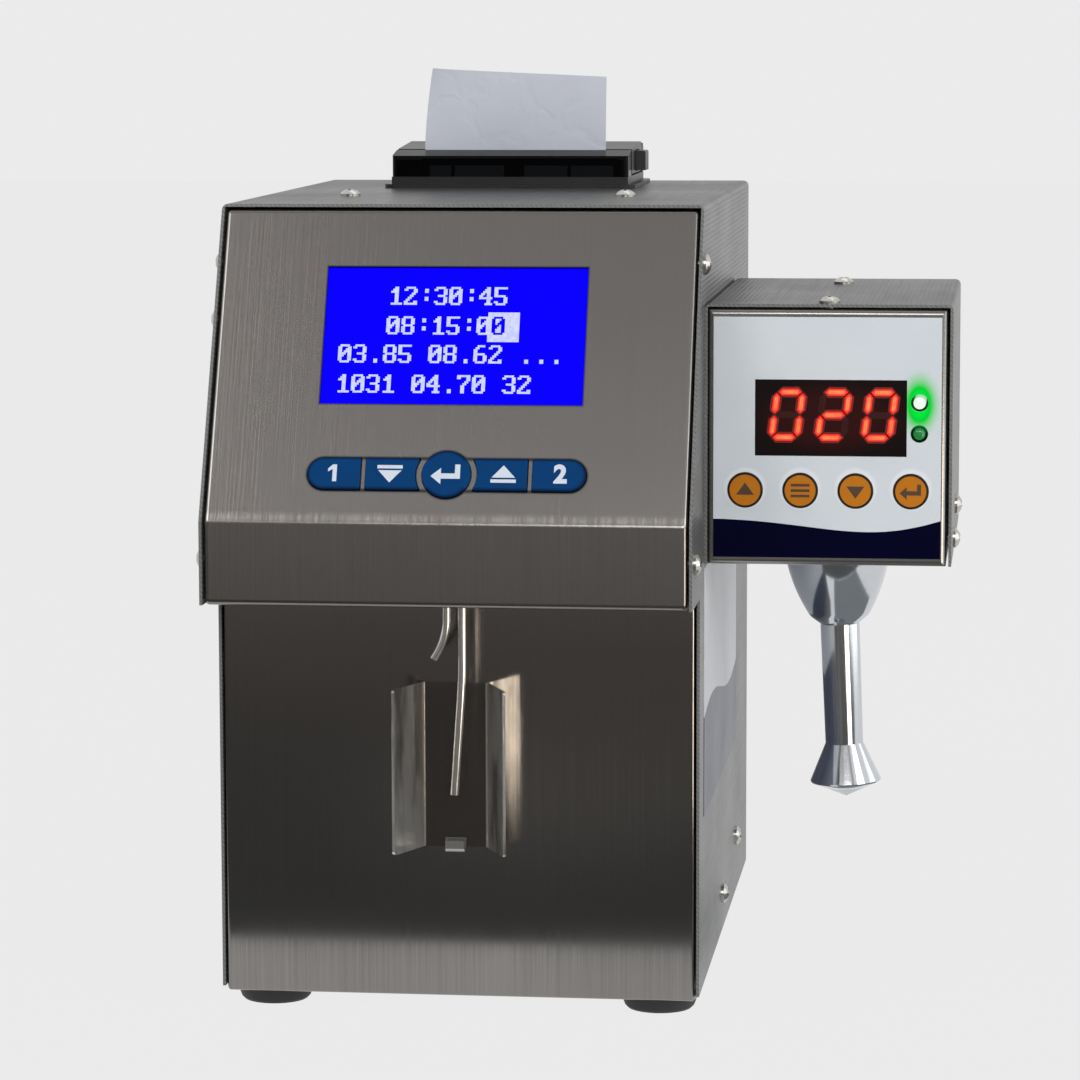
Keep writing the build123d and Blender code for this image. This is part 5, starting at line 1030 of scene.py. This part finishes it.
# middle, size, direction that it looks in, colour and strength of each card, in metres
cards = {
    "floor_card": ((-0.1, -1.734, 0.0015), (5.0, 3.132), (0, 0, 1), (0.1, 0.105, 0.11), 1.0),
    "front_card": ((-0.1, -3.3, 0.9), (5.0, 2.4), (0, 1, 0), (0.2, 0.19, 0.185), 1.0),
    "ceiling_card": ((-0.3, -1.6, 2.5), (4.0, 2.2), (0.1, 0.55, -0.83), (0.41, 0.393, 0.383), 1.0),
    "left_card": ((-0.75, -0.95, 0.22), (0.55, 0.75), (0.8, 0.6, 0), (0.13, 0.135, 0.16), 1.0),
    "horn_card": ((0.14, -0.0525, 0.0018), (0.18, 0.225), (0, 0, 1), (0.22, 0.235, 0.245), 1.0),
    "streak_card": ((0.46, -0.62, 0.16), (0.035, 0.4), (-0.6, 0.8, 0), (1.0, 1.0, 1.0), 2.3),
    "wing_card": ((0.27, -0.262, 0.05), (0.13, 0.18), (-0.82, 0.57, 0), (1.0, 0.88, 0.74), 5.4),
    "side_card": ((0.8, -0.06, 0.1), (0.9, 0.6), (-1, 0, 0), (0.97, 1.0, 1.0), 1.7),
}
floorTones = {
    "places": (-3.3, -1.55, -1.25, -0.93, -0.55, -0.17),
    "colors": ((0.6, 0.59, 0.58), (0.56, 0.54, 0.52), (0.3, 0.28, 0.265), (0.165, 0.15, 0.14),
               (0.115, 0.11, 0.105), (0.09, 0.094, 0.095)),
    "patch": (-0.035, -0.44, 0.0),
    "patchColor": (0.185, 0.178, 0.17),
    "patchOuter": 0.2,
}


def mirrorCard(name, middle, size, facing, color, strength):
    # a card that only shiny surfaces see
    clearSelection()
    bpy.ops.mesh.primitive_plane_add(size=1)
    card = takeNew(name)
    turn = Vector(facing).normalized().to_track_quat("Z", "Y").to_matrix().to_4x4()
    card.data.transform(Matrix.Translation(middle) @ turn @ Matrix.Diagonal((*size, 1, 1)))
    material, shader = newMaterial(name)
    tree = material.node_tree
    tree.nodes.remove(shader)
    glow = addNode(tree, "Emission", Color=color, Strength=strength)
    feed(tree.nodes["Material Output"].inputs["Surface"], glow.outputs[0])
    card.data.materials.append(material)
    for ray in ("camera", "diffuse", "shadow", "transmission"):
        setattr(card, "visible_" + ray, False)
    return glow


def shadeFloorCard(glow):
    # the floor card is darker near the object and lighter far in front of it
    tree = glow.id_data
    far, near = floorTones["places"][0], floorTones["places"][-1]
    ramp = addNode(tree, "ValToRGB", Fac=spread(objectParts(tree)["Y"], far, near))
    steps = ramp.color_ramp.elements
    while len(steps) < len(floorTones["places"]):
        steps.new(0.5)
    for step, place, color in zip(steps, floorTones["places"], floorTones["colors"]):
        step.position = (place - far) / (near - far)
        step.color = (*color, 1)
    patch = placeGroup(tree, spotGroup, Middle=floorTones["patch"], Squash=(1.6, 0.8, 0), Inner=0.0,
                       Outer=floorTones["patchOuter"])
    feed(glow.inputs["Color"], mixColor(patch["Inside"], ramp.outputs["Color"], floorTones["patchColor"]))


# place, size, power and colour of each lamp
lamps = {
    "key_lamp": ((-1.2, -1.4, 1.4), (0.9, 0.9), 8.0, (1.0, 0.985, 0.96)),
    "front_lamp": ((0.35, -2.0, 1.0), (1.0, 0.8), 15.0, (1.0, 1.0, 0.99)),
    "fill_lamp": ((1.6, -1.0, 0.9), (0.8, 0.8), 7.0, (0.96, 0.98, 1.0)),
    "top_lamp": ((0.2, 0.5, 1.7), (1.0, 0.7), 1.5, (1.0, 1.0, 1.0)),
}
lampTarget = Vector((-0.02, 0.0, 0.12))


def buildLamps():
    for name, (place, size, power, color) in lamps.items():
        clearSelection()
        bpy.ops.object.light_add(type="AREA", location=place)
        lamp = bpy.context.object
        lamp.name = name
        lamp.data.shape = "RECTANGLE"
        lamp.data.size, lamp.data.size_y = size
        lamp.data.energy = power
        lamp.data.color = color
        lamp.rotation_euler = (lampTarget - Vector(place)).to_track_quat("-Z", "Y").to_euler()


# the camera as it was fitted to the photo
camera = {
    "place": (0.12129, -1.20249, 0.27418),
    "right": (0.99309, 0.11732, -0.00247),
    "forward": (-0.11672, 0.98541, -0.12389),
    "lens": 137.68, "sensor": 36.0, "clip": (0.01, 60.0),
}


def buildCamera():
    clearSelection()
    bpy.ops.object.camera_add()
    lens = bpy.context.object
    lens.name = "photo_camera"
    right, forward = Vector(camera["right"]).normalized(), Vector(camera["forward"]).normalized()
    up = right.cross(forward).normalized()
    turn = Matrix((forward.cross(up).normalized(), up, -forward)).transposed().to_4x4()
    lens.matrix_world = Matrix.Translation(camera["place"]) @ turn
    lens.data.sensor_fit = "HORIZONTAL"
    lens.data.sensor_width = camera["sensor"]
    lens.data.lens = camera["lens"]
    lens.data.clip_start, lens.data.clip_end = camera["clip"]
    bpy.context.scene.camera = lens


def layOut(tree):
    # the nodes stand in columns, each to the left of all that it feeds
    column = dict.fromkeys(tree.nodes.keys(), 0)
    for _ in column:
        for link in tree.links:
            source, target = link.from_node.name, link.to_node.name
            column[source] = max(column[source], column[target] + 1)
    filled = {}
    for node in tree.nodes:
        index = column[node.name]
        filled[index] = filled.get(index, 0) + 1
        node.location = (-240 * index, -300 * filled[index])


buildWorld()
buildFloor()
glows = {name: mirrorCard(name, *values) for name, values in cards.items()}
shadeFloorCard(glows["floor_card"])
buildLamps()
buildCamera()
bpy.context.scene.view_settings.view_transform = "Standard"
for tree in trees:
    layOut(tree)
print("studio done")
